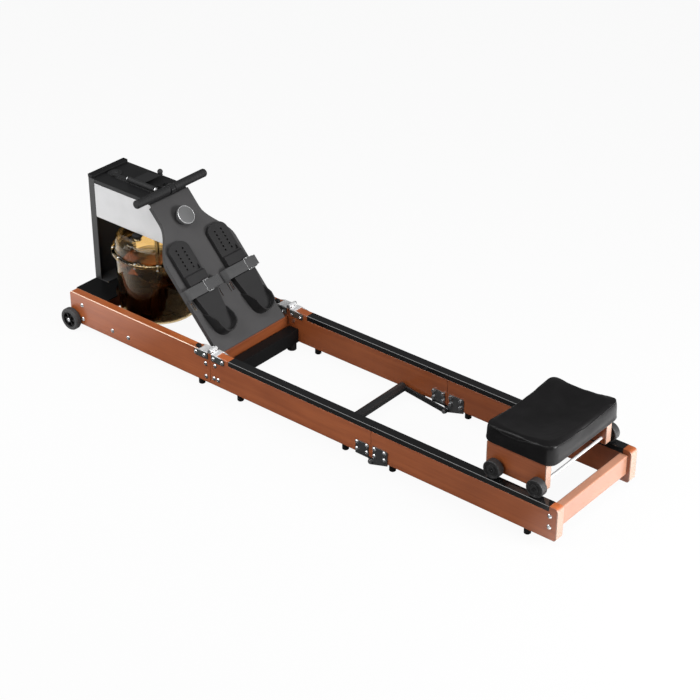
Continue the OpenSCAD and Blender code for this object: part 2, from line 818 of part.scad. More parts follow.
// Hinges on top of the front fold: leaves that saddle the rail and meet in knuckles.
// Knuckle strips are [start, width] from the inner rail face outwards.
knuckle_pitch = front_knuckle_w + knuckle_side_gap;
front_knuckles = [inner_y, inner_y + 2 * knuckle_pitch];
rear_knuckle = inner_y + knuckle_pitch;

// Saddle leaf reaching from dx0 to dx1 behind the fold, side plates from dx0 to side_dx1
module saddle(dx0, dx1, side_dx1, side_h) {
    translate([front_seam + dx0, inner_y - plate_t, rail_top])
        cube([dx1 - dx0, rail_t + 2 * plate_t, plate_t]);
    for (y = [inner_y - plate_t, half_w]) side_plate(y, plate_t) polygon([
        [front_seam + dx0, rail_top + plate_t], [front_seam + dx1, rail_top + plate_t],
        [front_seam + side_dx1, rail_top - 4], [front_seam + side_dx1, rail_top - side_h + 4],
        [front_seam + side_dx1 - 5, rail_top - side_h], [front_seam + dx0, rail_top - side_h]
    ]);
}

module knuckle(y, side) {
    difference() {
        union() {
            along_y(front_seam, y, front_pivot_z, knuckle_r, front_knuckle_w);
            translate([front_seam + min(0, side * leaf_start), y, rail_top + pass_gap])
                cube([leaf_start, front_knuckle_w, plate_t - pass_gap]);
        }
        along_y(front_seam, y - 1, front_pivot_z, front_pin_r + turn_fit, front_knuckle_w + 2);
    }
}

module fold_brackets_front() {
    color(steel) placed() both_sides() difference() {
        union() {
            mirror_x(front_seam) saddle(leaf_start, 46, 68, 24);
            for (y = front_knuckles) knuckle(y, -1);
        }
        rail_holes(front_bracket_bolts, inner_y - plate_t - 1, half_w + plate_t + 1);
    }
}

module fold_brackets_rear() {
    color(steel) placed() both_sides() difference() {
        union() {
            saddle(leaf_start, 30, 64, 24);
            knuckle(rear_knuckle, 1);
        }
        rail_holes(rear_bracket_bolts, inner_y - plate_t - 1, half_w + plate_t + 1);
    }
}

// Mirror image about the plane x = x0
module mirror_x(x0) {
    translate([x0, 0, 0]) mirror([1, 0, 0]) translate([-x0, 0, 0]) children();
}

// Round foot, arm and ears of the tablet holder
module tablet_base() {
    foot_place = [46, -6];
    ear_t = 7;
    ear_gap = 0.4;
    arm_z = box_top + 3;
    color(black) placed() {
        translate([foot_place[0], foot_place[1], box_top]) {
            cylinder(r = 25, h = 3);
            translate([0, 0, 3]) cylinder(r1 = 14, r2 = 10, h = 6);
        }
        translate([foot_place[0], tab_y + 2, arm_z]) cube([tab_x[0] - foot_place[0] - ear_gap, 14, 5]);
        translate([foot_place[0] + 30, tab_y - 4, box_top])
            cube([tab_x[1] + ear_t - foot_place[0] - 30, 8, 3.2]);
        for (x = [tab_x[0] - ear_gap - ear_t, tab_x[1] + ear_gap]) along_x(x, ear_t) {
            translate([tab_y - 4, box_top]) square([8, tab_z - box_top]);
            translate([tab_y, tab_z]) circle(tab_r);
        }
        translate([tab_x[0] - ear_gap - 1, tab_y, tab_z]) rotate([0, 90, 0])
            cylinder(r = tab_pin_r, h = tab_x[1] - tab_x[0] + 2 * ear_gap + 2);
    }
}

// Flip-up plate that turns on the holder's long barrel, with its ball knob
module tablet_rest() {
    plate_x = [150, 200];
    knob_at = [193, 64];
    knob_r = 9.5;
    color(charcoal) placed() difference() {
        union() {
            translate([tab_x[0], tab_y, tab_z]) rotate([0, 90, 0]) cylinder(r = tab_r, h = tab_x[1] - tab_x[0]);
            translate([0, 0, tab_z - tab_plate_t / 2]) linear_extrude(tab_plate_t) polygon([
                [plate_x[0], tab_y], [plate_x[1], tab_y], [plate_x[1], knob_at[1] + 6],
                [knob_at[0] - 9, knob_at[1] + 6], [knob_at[0] - 14, 50], [plate_x[0], 50]
            ]);
            translate([knob_at[0], knob_at[1], tab_z]) cylinder(r = 3.5, h = 6);
            translate([knob_at[0], knob_at[1], tab_z + 10]) sphere(knob_r);
        }
        translate([tab_x[0] - 1, tab_y, tab_z]) rotate([0, 90, 0])
            cylinder(r = tab_pin_r + turn_fit, h = tab_x[1] - tab_x[0] + 2);
    }
}

// Webbing over each foot plate: round the board's edge outside, through a slot inside
module foot_straps() {
    z0 = strap_under;
    z1 = strap_under + strap_t;
    y1 = board_half + 1;
    y0 = strap_inner_y - strap_t;
    color(black) placed() on_board() both_sides()
        translate([-strap_s[1], 0, 0]) rotate([90, 0, 90]) linear_extrude(strap_s[1] - strap_s[0]) polygon([
            [y0, -8], [y0 + strap_t, -8], [y0 + strap_t, 4], [y0 + strap_t + 14, z0], [y1 - 10, z0],
            [y1, z0 - 10], [y1, -10], [y1 + strap_t, -10], [y1 + strap_t, z0 - 9], [y1 - 9, z1],
            [y0 + 13, z1], [y0, 5]
        ]);
}

// Wire buckles lying on the straps, with their cam bars
module strap_buckles() {
    buckle_y = [20 - foot_y, 32 + foot_y];
    buckle_l = 44;
    buckle_w = 26;
    wire = 3.5;
    color(steel) placed() on_board() for (y = buckle_y) translate([-strap_s[1] - 3, y - buckle_w / 2,
        strap_under + strap_t]) {
        linear_extrude(3) difference() {
            round_rect(buckle_l, buckle_w, 4);
            translate([wire, wire]) round_rect(buckle_l - 2 * wire, buckle_w - 2 * wire, 2);
        }
        translate([wire - 1, buckle_w / 2, 2]) rotate([0, 90, 0]) cylinder(r = 2, h = buckle_l - 2 * wire + 2);
    }
}

// Middle section

module middle_rails() {
    x0 = front_seam + seam_gap / 2;
    x1 = rear_seam - seam_gap / 2;
    color(wood) placed() both_sides() difference() {
        rail(x0, x1, rail_edge_r, rail_edge_r);
        track_seat(track_start, x1 + 1);
        rail_holes(concat(rear_bracket_bolts, plate_bolts, member_bolts, middle_end_bolts),
            inner_y - 1, half_w + 1);
    }
}

module middle_tracks() {
    color(black) placed() both_sides() track(track_start, rear_seam - seam_gap / 2);
}

// Steel cross member behind the front fold: a channel with welded end plates
module middle_cross_member() {
    wall = member_wall;
    color(black) placed() difference() {
        translate([member_x[0], -inner_y, rail_z]) cube([member_x[1] - member_x[0], 2 * inner_y, member_h]);
        translate([member_x[0] + wall, -inner_y + 4, rail_z - 1])
            cube([member_x[1] - member_x[0] - 2 * wall, 2 * inner_y - 8, member_h + 1 - wall]);
        both_sides() rail_holes(member_bolts, inner_y - 5, inner_y + 1);
    }
}

module middle_feet() {
    color(rubber) placed() both_sides() {
        for (x = middle_foot_x) foot(x, foot_row_y);
        translate([member_foot_x, member_foot_y, 0]) cylinder(r = member_foot_r, h = rail_z);
        translate([member_foot_x, member_foot_y, rail_z])
            cylinder(r = member_foot_r - 6, h = member_h - member_wall);
    }
}

module middle_bolts() {
    color(steel) placed() both_sides() {
        rail_bolts(rear_bracket_bolts, half_w + plate_t, rail_t + 2 * plate_t + 6);
        rail_bolts(member_bolts, half_w, rail_t + 8);
        rail_bolts(plate_bolts, half_w, rail_t + nut_h);
        for (p = plate_bolts) bolt_nut(p, inner_y);
        rail_bolts(middle_end_bolts, half_w + plate_t, rail_t + 2 * plate_t + nut_h);
        for (p = concat(rear_bracket_bolts, middle_end_bolts)) bolt_nut(p, inner_y - plate_t);
    }
}

// U-shaped bracket under the rail at the rear fold, with lugs that carry the pin
module end_brackets_middle() {
    x0 = rear_seam - end_plate_x[1];
    x1 = rear_seam - end_plate_x[0];
    color(steel) placed() both_sides() difference() {
        union() {
            for (y = [inner_y - plate_t, half_w]) side_plate(y, plate_t)
                translate([x0, rail_z - plate_t]) round_rect(x1 - x0, end_plate_top + plate_t, 3);
            translate([x0 + 3, inner_y - plate_t, rail_z - plate_t])
                cube([x1 - x0 - 6, rail_t + 2 * plate_t, plate_t]);
            for (y = lug_y) side_plate(y, lug_t) {
                polygon([
                    [rear_seam - 34, rail_z], [rear_seam - end_plate_x[0] - 1, rail_z],
                    [rear_seam - end_plate_x[0] - 1, rail_z - plate_t],
                    [rear_seam + 4, rear_pivot_z + rear_lug_r - 2],
                    [rear_seam - 4, rear_pivot_z - rear_lug_r + 2]
                ]);
                translate([rear_seam, rear_pivot_z]) circle(rear_lug_r);
            }
        }
        translate([x0 - 1, inner_y, rail_z]) cube([x1 - x0 + 60, rail_t, rail_h]);
        for (y = lug_y) along_y(rear_seam, y - 1, rear_pivot_z, rear_pin_r + turn_fit, lug_t + 2);
        rail_holes(middle_end_bolts, inner_y - plate_t - 1, half_w + plate_t + 1);
    }
}

// Pins of both folds
module hinge_pins() {
    front_y = [inner_y - 0.5, inner_y + 3 * knuckle_pitch - 0.5];
    rear_y = [release_arm_y - 3, half_w + plate_t + pass_gap];
    color(steel) placed() both_sides() {
        along_y(front_seam, front_y[0], front_pivot_z, front_pin_r, front_y[1] - front_y[0]);
        for (y = [front_y[0] - 3, front_y[1]]) along_y(front_seam, y, front_pivot_z, front_pin_r + 2, 3);
        along_y(rear_seam, rear_y[0], rear_pivot_z, rear_pin_r, rear_y[1] - rear_y[0]);
        for (y = [rear_y[0] - 3, rear_y[1]]) along_y(rear_seam, y, rear_pivot_z, rear_pin_r + 2.5, 3);
    }
}

// Grip tube between two flat arms that hang on the rear hinge pins
module release_bar() {
    grip_x = rear_seam - release_reach;
    grip_z = rail_z + 8;
    arm_h = 9;
    grip_half = release_arm_y + release_arm_t;
    color(black) placed() difference() {
        union() {
            along_y(grip_x, -grip_half, grip_z, release_r, 2 * grip_half);
            both_sides() side_plate(release_arm_y, release_arm_t) {
                polygon([
                    [grip_x, grip_z - arm_h], [grip_x, grip_z + arm_h],
                    [rear_seam, rear_pivot_z + arm_h], [rear_seam, rear_pivot_z - arm_h]
                ]);
                translate([rear_seam, rear_pivot_z]) circle(arm_h);
            }
        }
        both_sides() along_y(rear_seam, release_arm_y - 1, rear_pivot_z, rear_pin_r + turn_fit, release_arm_t + 2);
    }
}

// Rear section

module rear_rails() {
    x0 = rear_seam + seam_gap / 2;
    color(wood) placed() both_sides() difference() {
        rail(x0, rail_l, rail_edge_r, rail_end_r);
        track_seat(x0 - 1, track_end);
        rail_holes(concat(rear_end_bolts, rear_beam_bolts), inner_y - 1, half_w + 1);
    }
}

module rear_tracks() {
    color(black) placed() both_sides() track(rear_seam + seam_gap / 2, track_end);
}

module rear_crossbeam() {
    color(wood) placed() difference() {
        crossbeam(rear_beam_x0, rear_beam_x1, rear_beam_z[0], rear_beam_z[1]);
        both_sides() rail_holes(rear_beam_bolts, inner_y - 20, inner_y + 1);
    }
}

module rear_feet() {
    color(rubber) placed() both_sides() for (x = rear_foot_x) foot(x, foot_row_y);
}

// U-shaped bracket whose side plates reach down to the pin
module end_brackets_rear() {
    x0 = rear_seam + end_plate_x[0];
    x1 = rear_seam + end_plate_x[1] + 6;
    tip_r = rear_lug_r + 0.5;
    color(steel) placed() both_sides() difference() {
        union() {
            for (y = [inner_y - plate_t, half_w]) side_plate(y, plate_t) {
                polygon([
                    [x0, rail_z + end_plate_top + 2], [x1 - 3, rail_z + end_plate_top + 2],
                    [x1, rail_z + end_plate_top - 1], [x1, rail_z - plate_t],
                    [rear_seam + 3, rear_pivot_z - tip_r + 0.6], [rear_seam - 3, rear_pivot_z + tip_r - 2],
                    [rear_seam + 3, rail_z - plate_t], [x0, rail_z + 2]
                ]);
                translate([rear_seam, rear_pivot_z]) circle(tip_r);
            }
            translate([x0 + 8, inner_y - plate_t, rail_z - plate_t])
                cube([x1 - x0 - 12, rail_t + 2 * plate_t, plate_t]);
        }
        for (y = [inner_y - plate_t, half_w]) along_y(rear_seam, y - 1, rear_pivot_z, rear_pin_r + turn_fit, plate_t + 2);
        rail_holes(rear_end_bolts, inner_y - plate_t - 1, half_w + plate_t + 1);
    }
}

module rear_bolts() {
    color(steel) placed() both_sides() {
        rail_bolts(rear_end_bolts, half_w + plate_t, rail_t + 2 * plate_t + nut_h);
        rail_bolts(rear_beam_bolts, half_w, rail_t + 18);
        for (p = rear_end_bolts) bolt_nut(p, inner_y - plate_t);
    }
}

// Seat

// Wooden sides with softly rounded lower corners, drilled for the axles
module seat_sides() {
    side_l = seat_side_x[1] - seat_side_x[0];
    color(wood) placed() both_sides() difference() {
        side_plate(seat_side_y - seat_side_t, seat_side_t)
            translate([seat_side_x[0], seat_side_z]) round_rect(side_l, seat_side_h, 5);
        for (x = seat_axle_x) along_y(x, seat_side_y - seat_side_t - 1, seat_axle_z,
            seat_axle_r + bolt_fit, seat_side_t + 2);
    }
}

// Board under the cushion, let in between the sides
module seat_base() {
    base_half = seat_side_y - seat_side_t;
    color(black) placed() translate([seat_side_x[0] + 8, -base_half, seat_top - seat_base_t])
        linear_extrude(seat_base_t) round_rect(seat_side_x[1] - seat_side_x[0] - 16, 2 * base_half, 4);
}

module seat_axles() {
    end_y = seat_wheel_y + seat_wheel_w + 1;
    color(steel) placed() for (x = seat_axle_x) {
        along_y(x, -end_y, seat_axle_z, seat_axle_r, 2 * end_y);
        both_sides() {
            along_y(x, end_y, seat_axle_z, seat_axle_r + 1.5, 2.5);
            along_y(x, seat_side_y, seat_axle_z, seat_axle_r + 4, seat_wheel_y - seat_side_y - 0.6);
        }
    }
}

// Moulded cushion: its outline is drawn in at the foot and at the crown, and its top is dished
// from side to side and rises to the rear. Rows run round the outline, rings go up the side and
// then in over the top to the middle.
cushion_side = [[0, 0.2], [0.07, 0.03], [0.3, 0], [0.66, 0.05], [0.86, 0.22], [0.96, 0.58], [1, 1]];
crown_in = 13;
cushion_top = [0.84, 0.66, 0.45, 0.22];
cushion_dish = 22;
front_lip = 9;
front_dip = 10;
rear_dip = 6;
corner_steps = 8;
edge_steps = 3;
cushion_rows = 4 * (corner_steps + 1 + edge_steps);

// The outline drawn out by m: round corners joined by straight edges
function cushion_loop(m) =
    let (
        r = cushion_r + m, cx = cushion_l / 2 + m - r, cy = cushion_half + m - r,
        centres = [[cx, cy], [-cx, cy], [-cx, -cy], [cx, -cy]]
    )
    [for (q = [0:3]) each concat(
        arc(centres[q][0], centres[q][1], r, 90 * q, 90 * q + 90, corner_steps),
        let (
            turn = r * [cos(90 * q + 90), sin(90 * q + 90)],
            from = centres[q] + turn, to = centres[(q + 1) % 4] + turn
        )
        [for (k = [1:edge_steps]) from + (to - from) * k / (edge_steps + 1)]
    )];

// Height of the crown over the cushion's foot at u along and v across, both from -1 to 1
function cushion_height(u, v) =
    let (
        rise = (u + 1) / 2,
        back = max(0, u), front = max(0, -u),
        edge = cushion_front_h + (cushion_rear_h - cushion_front_h) * rise * rise + front_lip * front * front,
        depth = cushion_dish * (1 - u * u) + front_dip * front * front + rear_dip * back * back
    )
    edge - depth * max(0, 1 - v * v);

function cushion_point(p, f) = [p[0], p[1], f * cushion_height(p[0] / (cushion_l / 2), p[1] / cushion_half)];
function cushion_ring(f, m) = [for (p = cushion_loop(m)) cushion_point(p, f)];
function cushion_cap(k, m) = [for (p = cushion_loop(m)) cushion_point(k * p, 1)];

module seat_cushion() {
    rings = concat(
        [for (s = cushion_side) cushion_ring(s[0], -s[1] * crown_in)],
        [for (k = cushion_top) cushion_cap(k, -crown_in)]
    );
    n = cushion_rows;
    last = len(rings) - 1;
    tip = n * len(rings);
    color(black) placed() translate([cushion_x0 + cushion_l / 2, 0, seat_top]) polyhedron(
        points = concat([for (r = rings) each r], [[0, 0, cushion_height(0, 0)], [0, 0, 0]]),
        faces = concat(
            [for (j = [0:last - 1], i = [0:n - 1])
                let (a = j * n + i, b = j * n + (i + 1) % n) each [[a, a + n, b], [b, a + n, b + n]]],
            [for (i = [0:n - 1]) [last * n + i, tip, last * n + (i + 1) % n]],
            [for (i = [0:n - 1]) [(i + 1) % n, tip + 1, i]]
        )
    );
}

// Seat wheel on the +Y side: a crowned tread with a dished web and a hub ring
module seat_wheel(x) {
    web = 5;
    crown = 1.5;
    w = seat_wheel_w;
    translate([x, seat_wheel_y, seat_axle_z]) rotate([-90, 0, 0]) rotate_extrude() polygon([
        [seat_axle_r + turn_fit, 0], [13, 0], [15, web], [seat_wheel_r - 7, web],
        [seat_wheel_r - 5, 0], [seat_wheel_r - crown, 0], [seat_wheel_r, crown], [seat_wheel_r, w - crown],
        [seat_wheel_r - crown, w], [seat_wheel_r - 5, w], [seat_wheel_r - 7, w - web], [15, w - web],
        [13, w], [seat_axle_r + turn_fit, w]
    ]);
}

module seat_front_wheels() {
    color(rubber) placed() both_sides() seat_wheel(seat_axle_x[0]);
}

module seat_rear_wheels() {
    color(rubber) placed() both_sides() seat_wheel(seat_axle_x[1]);
}

// Transport wheels

hub_rim_r = wheel_r - 11;

module wheel_at(side) {
    placed() translate([wheel_x, side * (half_w + 2), wheel_r]) rotate([-90 * side, 0, 0]) children();
}

module wheel_tyre(side) {
    shoulder = 5;
    color([0.5, 0.5, 0.5]) wheel_at(side) rotate_extrude() polygon([
        [hub_rim_r, 1], [hub_rim_r + 1, 1], [wheel_r - shoulder, 0], [wheel_r - 1.5, 2], [wheel_r, shoulder],
        [wheel_r, wheel_w - shoulder], [wheel_r - 1.5, wheel_w - 2], [wheel_r - shoulder, wheel_w],
        [hub_rim_r + 1, wheel_w - 1], [hub_rim_r, wheel_w - 1]
    ]);
}

// Spoked hub: rim, hub barrel and six spokes
module wheel_hub(side) {
    hub_r = 11;
    rim_t = 4;
    spokes = 6;
    color(black) wheel_at(side) difference() {
        union() {
            translate([0, 0, 1]) difference() {
                cylinder(r = hub_rim_r, h = wheel_w - 2);
                translate([0, 0, -1]) cylinder(r = hub_rim_r - rim_t, h = wheel_w);
            }
            cylinder(r = hub_r, h = wheel_w);
            for (i = [0:spokes - 1]) rotate([0, 0, i * 360 / spokes]) translate([0, -2.5, 4])
                cube([hub_rim_r - 1, 5, wheel_w - 8]);
        }
        translate([0, 0, -1]) cylinder(r = bolt_r + turn_fit, h = wheel_w + 2);
    }
}

module left_wheel_tyre() { wheel_tyre(-1); }
module left_wheel_hub() { wheel_hub(-1); }
module right_wheel_tyre() { wheel_tyre(1); }
module right_wheel_hub() { wheel_hub(1); }

// Handle and drive

// Steel tube with the belt clip round its middle
module handle_bar() {
    tube_wall = 2;
    jaw_x = [handle_x - 23, handle_x - clip_r + 4];
    color(steel) placed() difference() {
        union() {
            along_y(handle_x, -handle_l / 2 + 3, handle_z, bar_r, handle_l - 6);
            along_y(handle_x, -clip_half, handle_z, clip_r, 2 * clip_half);
            for (z = [belt_z - clip_jaw, belt_z + belt_t]) translate([jaw_x[0], -clip_half, z])
                cube([jaw_x[1] - jaw_x[0], 2 * clip_half, clip_jaw]);
        }
        along_y(handle_x, -handle_l / 2, handle_z, bar_r - tube_wall, handle_l);
        translate([jaw_x[0] - 1, -clip_half - 1, belt_z]) cube([jaw_x[1] - jaw_x[0], 2 * clip_half + 2, belt_t]);
    }
}

// Ribbed foam grips that close the tube's ends
module handle_grips() {
    ribs = 11;
    start = clip_half + 4;
    end = handle_l / 2;
    pitch = (end - start - 6) / ribs;
    groove = 0.6;
    color(black) placed() both_sides() translate([handle_x, start, handle_z]) rotate([-90, 0, 0])
        rotate_extrude() polygon(concat(
            [[bar_r, 0], [grip_r - 1, 0]],
            [for (i = [0:ribs - 1]) each [
                [grip_r, i * pitch + 1], [grip_r, (i + 1) * pitch - 1.5], [grip_r - groove, (i + 1) * pitch - 0.5]
            ]],
            [[grip_r, end - start - 5], [grip_r - 2, end - start - 1], [grip_r - 4, end - start],
                [0, end - start], [0, end - start - 3], [bar_r, end - start - 3]]
        ));
}

// Belt between the guide roller and the handle's clip
module belt() {
    color(black) placed() translate([roller_x, -clip_half, belt_z])
        cube([handle_x - clip_r + 3 - roller_x, 2 * clip_half, belt_t]);
}

module belt_drum() {
    web_z = drum_z + drum_flange_t;
    color(black) placed() translate([tank_x, 0, 0]) difference() {
        union() {
            for (z = [drum_z, drum_z1 - drum_flange_t]) translate([0, 0, z])
                cylinder(r = drum_flange_r, h = drum_flange_t);
            translate([0, 0, web_z]) cylinder(r = drum_r, h = drum_z1 - drum_z - 2 * drum_flange_t);
        }
        translate([0, 0, drum_z - 1]) cylinder(r = shaft_r + turn_fit, h = drum_z1 - drum_z + 2);
        for (i = [0:5]) rotate([0, 0, 60 * i]) translate([26, 0, drum_z - 1]) cylinder(r = 8, h = drum_z1 - drum_z + 2);
    }
}

module belt_coil() {
    color(black) placed() translate([tank_x, 0, drum_z + drum_flange_t + 2]) difference() {
        cylinder(r = coil_r, h = belt_w);
        translate([0, 0, -1]) cylinder(r = drum_r, h = belt_w + 2);
    }
}

// Flat recoil spring wound under the drum
module recoil_spring() {
    steps = 24;
    r0 = bearing_or + 2;
    pitch = 3;
    count = spring_turns * steps;
    function coil(k, m) = let (a = 360 * k / steps, r = r0 + pitch * k / steps + m) [r * cos(a), r * sin(a)];
    color(steel) placed() translate([tank_x, 0, drum_z - foot_gap - spring_h]) linear_extrude(spring_h)
        polygon(concat(
            [for (k = [0:count]) coil(k, 0)],
            [for (k = [count:-1:0]) coil(k, spring_strip)]
        ));
}

module guide_roller() {
    color(steel) placed() translate([roller_x, 0, roller_z]) rotate([-90, 0, 0])
        translate([0, 0, -roller_half]) rotate_extrude() polygon([
            [roller_pin_r + turn_fit, 0], [roller_r, 0], [roller_r, 1], [roller_r - 1, 2],
            [roller_r - 1, 2 * roller_half - 2], [roller_r, 2 * roller_half - 1], [roller_r, 2 * roller_half],
            [roller_pin_r + turn_fit, 2 * roller_half]
        ]);
}

module paddle_shaft() {
    z0 = tank_floor + tank_wall + 3;
    z1 = box_top - sheet_t - 1;
    color(steel) placed() translate([tank_x, 0, z0]) cylinder(r = shaft_r, h = z1 - z0);
}

// Paddle wheel: a drilled hub with upright blades that are drawn in at the top and bottom
module paddle_wheel() {
    z0 = tank_floor + tank_wall + 10;
    hub_h = 92;
    blade_t = 4;
    inset = 14;
    color([0.2, 0.2, 0.2]) placed() translate([tank_x, 0, z0]) difference() {
        union() {
            cylinder(r = 20, h = hub_h);
            cylinder(r = 60, h = 3);
            for (i = [0:paddle_blades - 1]) rotate([0, 0, i * 360 / paddle_blades])
                translate([0, blade_t / 2, 0]) rotate([90, 0, 0]) linear_extrude(blade_t) polygon([
                    [10, 0], [paddle_r - inset, 0], [paddle_r, inset], [paddle_r, hub_h - inset],
                    [paddle_r - inset, hub_h - 4], [10, hub_h - 4]
                ]);
        }
        translate([0, 0, -1]) cylinder(r = shaft_r + foot_gap / 2, h = hub_h + 2);
    }
}

// Footrests

// A shape drawn with s up the slope and y across
module foot_shape(m) {
    heel_s = cup_foot + 10 + cup_r;
    translate([-heel_s, 0]) circle(cup_r + m);
    polygon([
        [-heel_s + 8, -cup_r - m + 1], [-heel_s + 8, cup_r + m - 1], [-strap_s[0] + 2, heel_half + m],
        [-strap_s[0] + 2, -heel_half - m]
    ]);
}

module foot_plate(side) {
    toe_end = 389;
    toe_s = [strap_s[0] - 2, toe_end];
    toe_r = 30;
    step_end = 270;
    step_s = [strap_s[1] + 3, step_end];
    hole_rows = 6;
    hole_pitch = 14;
    hole_y = 15;
    hole_r = 3.8;
    hole_deep = 7;
    notch_l = 18;
    notch_w = 14;
    notch_in = 6;
    color(black) placed() on_board() translate([0, side * foot_y, 0]) difference() {
        union() {
            // Toe plate with a round head
            translate([-toe_s[1], -toe_half, foot_gap]) linear_extrude(toe_h - foot_gap) {
                translate([toe_r, 0]) square([toe_s[1] - toe_s[0] - toe_r, 2 * toe_half]);
                translate([0, toe_r]) square([toe_r + 1, 2 * (toe_half - toe_r)]);
                for (y = [toe_r, 2 * toe_half - toe_r]) translate([toe_r, y]) circle(toe_r);
            }
            // Ramp-shaped step at the ball of the foot
            side_plate(-toe_half, 2 * toe_half) polygon([
                [-step_s[1] - 5, toe_h - 1], [-step_s[1], heel_h], [-step_s[0], heel_h], [-step_s[0] + 3, toe_h - 1]
            ]);
            // Heel plate
            translate([0, 0, foot_gap]) linear_extrude(heel_h - foot_gap) foot_shape(0);
            // Heel cup: a wall round the heel, highest at the back and sloping down to the sides
            intersection() {
                linear_extrude(cup_h) foot_shape(cup_wall);
                side_plate(-heel_half - cup_wall - 1, 2 * (heel_half + cup_wall + 1)) polygon([
                    [-cup_s[0], foot_gap], [-cup_s[0], cup_back_h], [-cup_s[1], cup_h],
                    [-cup_s[2], cup_h - 2], [-cup_s[3], heel_h + 2], [-cup_s[4], foot_gap]
                ]);
            }
        }
        translate([0, 0, heel_h]) linear_extrude(cup_h) foot_shape(0);
        for (i = [0:hole_rows - 1], y = [-hole_y, hole_y])
            translate([-toe_end + toe_r - 4 + i * hole_pitch, y, toe_h - hole_deep])
                cylinder(r = hole_r, h = hole_deep + 1);
        translate([-step_end - 9, toe_half - notch_in, toe_h - hole_deep]) linear_extrude(hole_deep + 1)
            polygon([[-notch_l, -2], [0, -notch_w], [0, 0]]);
    }
}

module left_foot_plate() { foot_plate(-1); }
module right_foot_plate() { foot_plate(1); }

front_rails();
front_beams();
base_tray();
tank_cradle();
head_post();
head_top_bar();
box_shell();
side_panels();
foot_board();
handle_rest();
monitor();
shaft_bearings();
belt_lead();
tank_lower();
tank_upper();
tank_seals();
tank_bolts();
front_feet();
front_bolts();
fold_brackets_front();
tablet_base();
foot_straps();
strap_buckles();
middle_rails();
middle_tracks();
middle_cross_member();
middle_feet();
fold_brackets_rear();
middle_bolts();
end_brackets_middle();
hinge_pins();
release_bar();
rear_rails();
rear_tracks();
rear_crossbeam();
rear_feet();
end_brackets_rear();
rear_bolts();
seat_sides();
seat_base();
seat_axles();
seat_cushion();
seat_front_wheels();
seat_rear_wheels();
left_wheel_tyre();
left_wheel_hub();
right_wheel_tyre();
right_wheel_hub();
handle_bar();
handle_grips();
belt();
belt_drum();
belt_coil();
recoil_spring();
guide_roller();
paddle_shaft();
paddle_wheel();
left_foot_plate();
right_foot_plate();
tablet_rest();
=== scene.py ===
import math

import bpy
from bpy.props import FloatProperty, FloatVectorProperty, PointerProperty
from bpy.types import Operator, Panel, PropertyGroup
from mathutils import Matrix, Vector


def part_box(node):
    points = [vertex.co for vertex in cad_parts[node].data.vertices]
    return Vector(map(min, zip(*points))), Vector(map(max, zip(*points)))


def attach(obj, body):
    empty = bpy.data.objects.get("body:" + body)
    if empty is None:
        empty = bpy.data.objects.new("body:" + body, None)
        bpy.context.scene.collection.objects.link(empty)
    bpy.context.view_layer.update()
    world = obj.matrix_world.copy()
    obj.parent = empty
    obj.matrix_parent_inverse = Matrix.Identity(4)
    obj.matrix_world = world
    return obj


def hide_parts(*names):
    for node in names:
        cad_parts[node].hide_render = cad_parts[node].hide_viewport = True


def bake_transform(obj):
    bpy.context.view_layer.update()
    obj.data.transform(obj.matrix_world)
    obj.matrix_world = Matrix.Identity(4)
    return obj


bl_info = {
    "name": "Folding water rowing machine",
    "version": (1, 0, 0),
    "blender": (4, 5, 0),
    "location": "View3D > Sidebar > Rower",
    "description": "Dresses the frame with its finishes, cushion, webbing and small trim",
    "category": "Object",
}

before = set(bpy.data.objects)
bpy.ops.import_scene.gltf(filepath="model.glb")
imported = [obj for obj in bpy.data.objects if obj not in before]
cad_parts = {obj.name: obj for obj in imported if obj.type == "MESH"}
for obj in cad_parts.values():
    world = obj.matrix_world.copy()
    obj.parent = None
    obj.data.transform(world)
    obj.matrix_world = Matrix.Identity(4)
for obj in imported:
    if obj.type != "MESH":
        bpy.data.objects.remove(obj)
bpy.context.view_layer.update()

# The footboard's own frame: u runs up the slope, v across, w stands off the face
BOARD_FOOT_Z, BOARD_HEAD_Z = 0.113, 0.514
BOARD_FOOT = Vector((-0.3415, 0.0, BOARD_FOOT_Z))
BOARD_SLOPE = math.radians(48)
BOARD_LENGTH = (BOARD_HEAD_Z - BOARD_FOOT_Z) / math.sin(BOARD_SLOPE)
UP_BOARD = Vector((-math.cos(BOARD_SLOPE), 0.0, math.sin(BOARD_SLOPE)))
OFF_BOARD = Vector((math.sin(BOARD_SLOPE), 0.0, math.cos(BOARD_SLOPE)))

# Axes of a box's corners
ALONG, ACROSS, UP = range(3)
# Past every piece, for a tone that is wanted at one end only
BEYOND = 9.0
# Vertices closer than this are one
MERGE = 0.00001


# Sizes and colours

class FinishSettings(PropertyGroup):
    wood_light: FloatVectorProperty(name="Wood, light grain",
                                    description="Colour of the pale grain lines",
                                    subtype="COLOR", size=3, default=(0.37, 0.104, 0.031))
    # The pale tone of the wood's ends is painted sheen for the strong light on the end faces, not
    # the end grain's own colour
    wood_end_sheen: FloatVectorProperty(name="Wood, sawn ends",
                                  description="Colour of the pale end grain",
                                  subtype="COLOR", size=3, default=(0.34, 0.205, 0.15))
    wood_dark: FloatVectorProperty(name="Wood, dark grain",
                                   description="Colour of the dark grain lines",
                                   subtype="COLOR", size=3, default=(0.21, 0.048, 0.0125))
    sheet_black: FloatVectorProperty(name="Black sheet", description="Powder-coated black steel",
                                     subtype="COLOR", size=3, default=(0.0045, 0.0045, 0.0047))
    board_grey: FloatVectorProperty(name="Footboard", description="Charcoal of the footboard",
                                    subtype="COLOR", size=3, default=(0.0355, 0.0345, 0.035))
    panel_light: FloatVectorProperty(name="Side panel", description="Light panels of the drive box",
                                     subtype="COLOR", size=3, default=(0.45, 0.45, 0.455))
    tank_amber: FloatVectorProperty(name="Tank", description="Tint of the clear tank",
                                    subtype="COLOR", size=3, default=(0.95, 0.75, 0.44))
    leather_black: FloatVectorProperty(name="Cushion", description="Upholstery of the seat",
                                       subtype="COLOR", size=3, default=(0.0045, 0.0043, 0.0045))


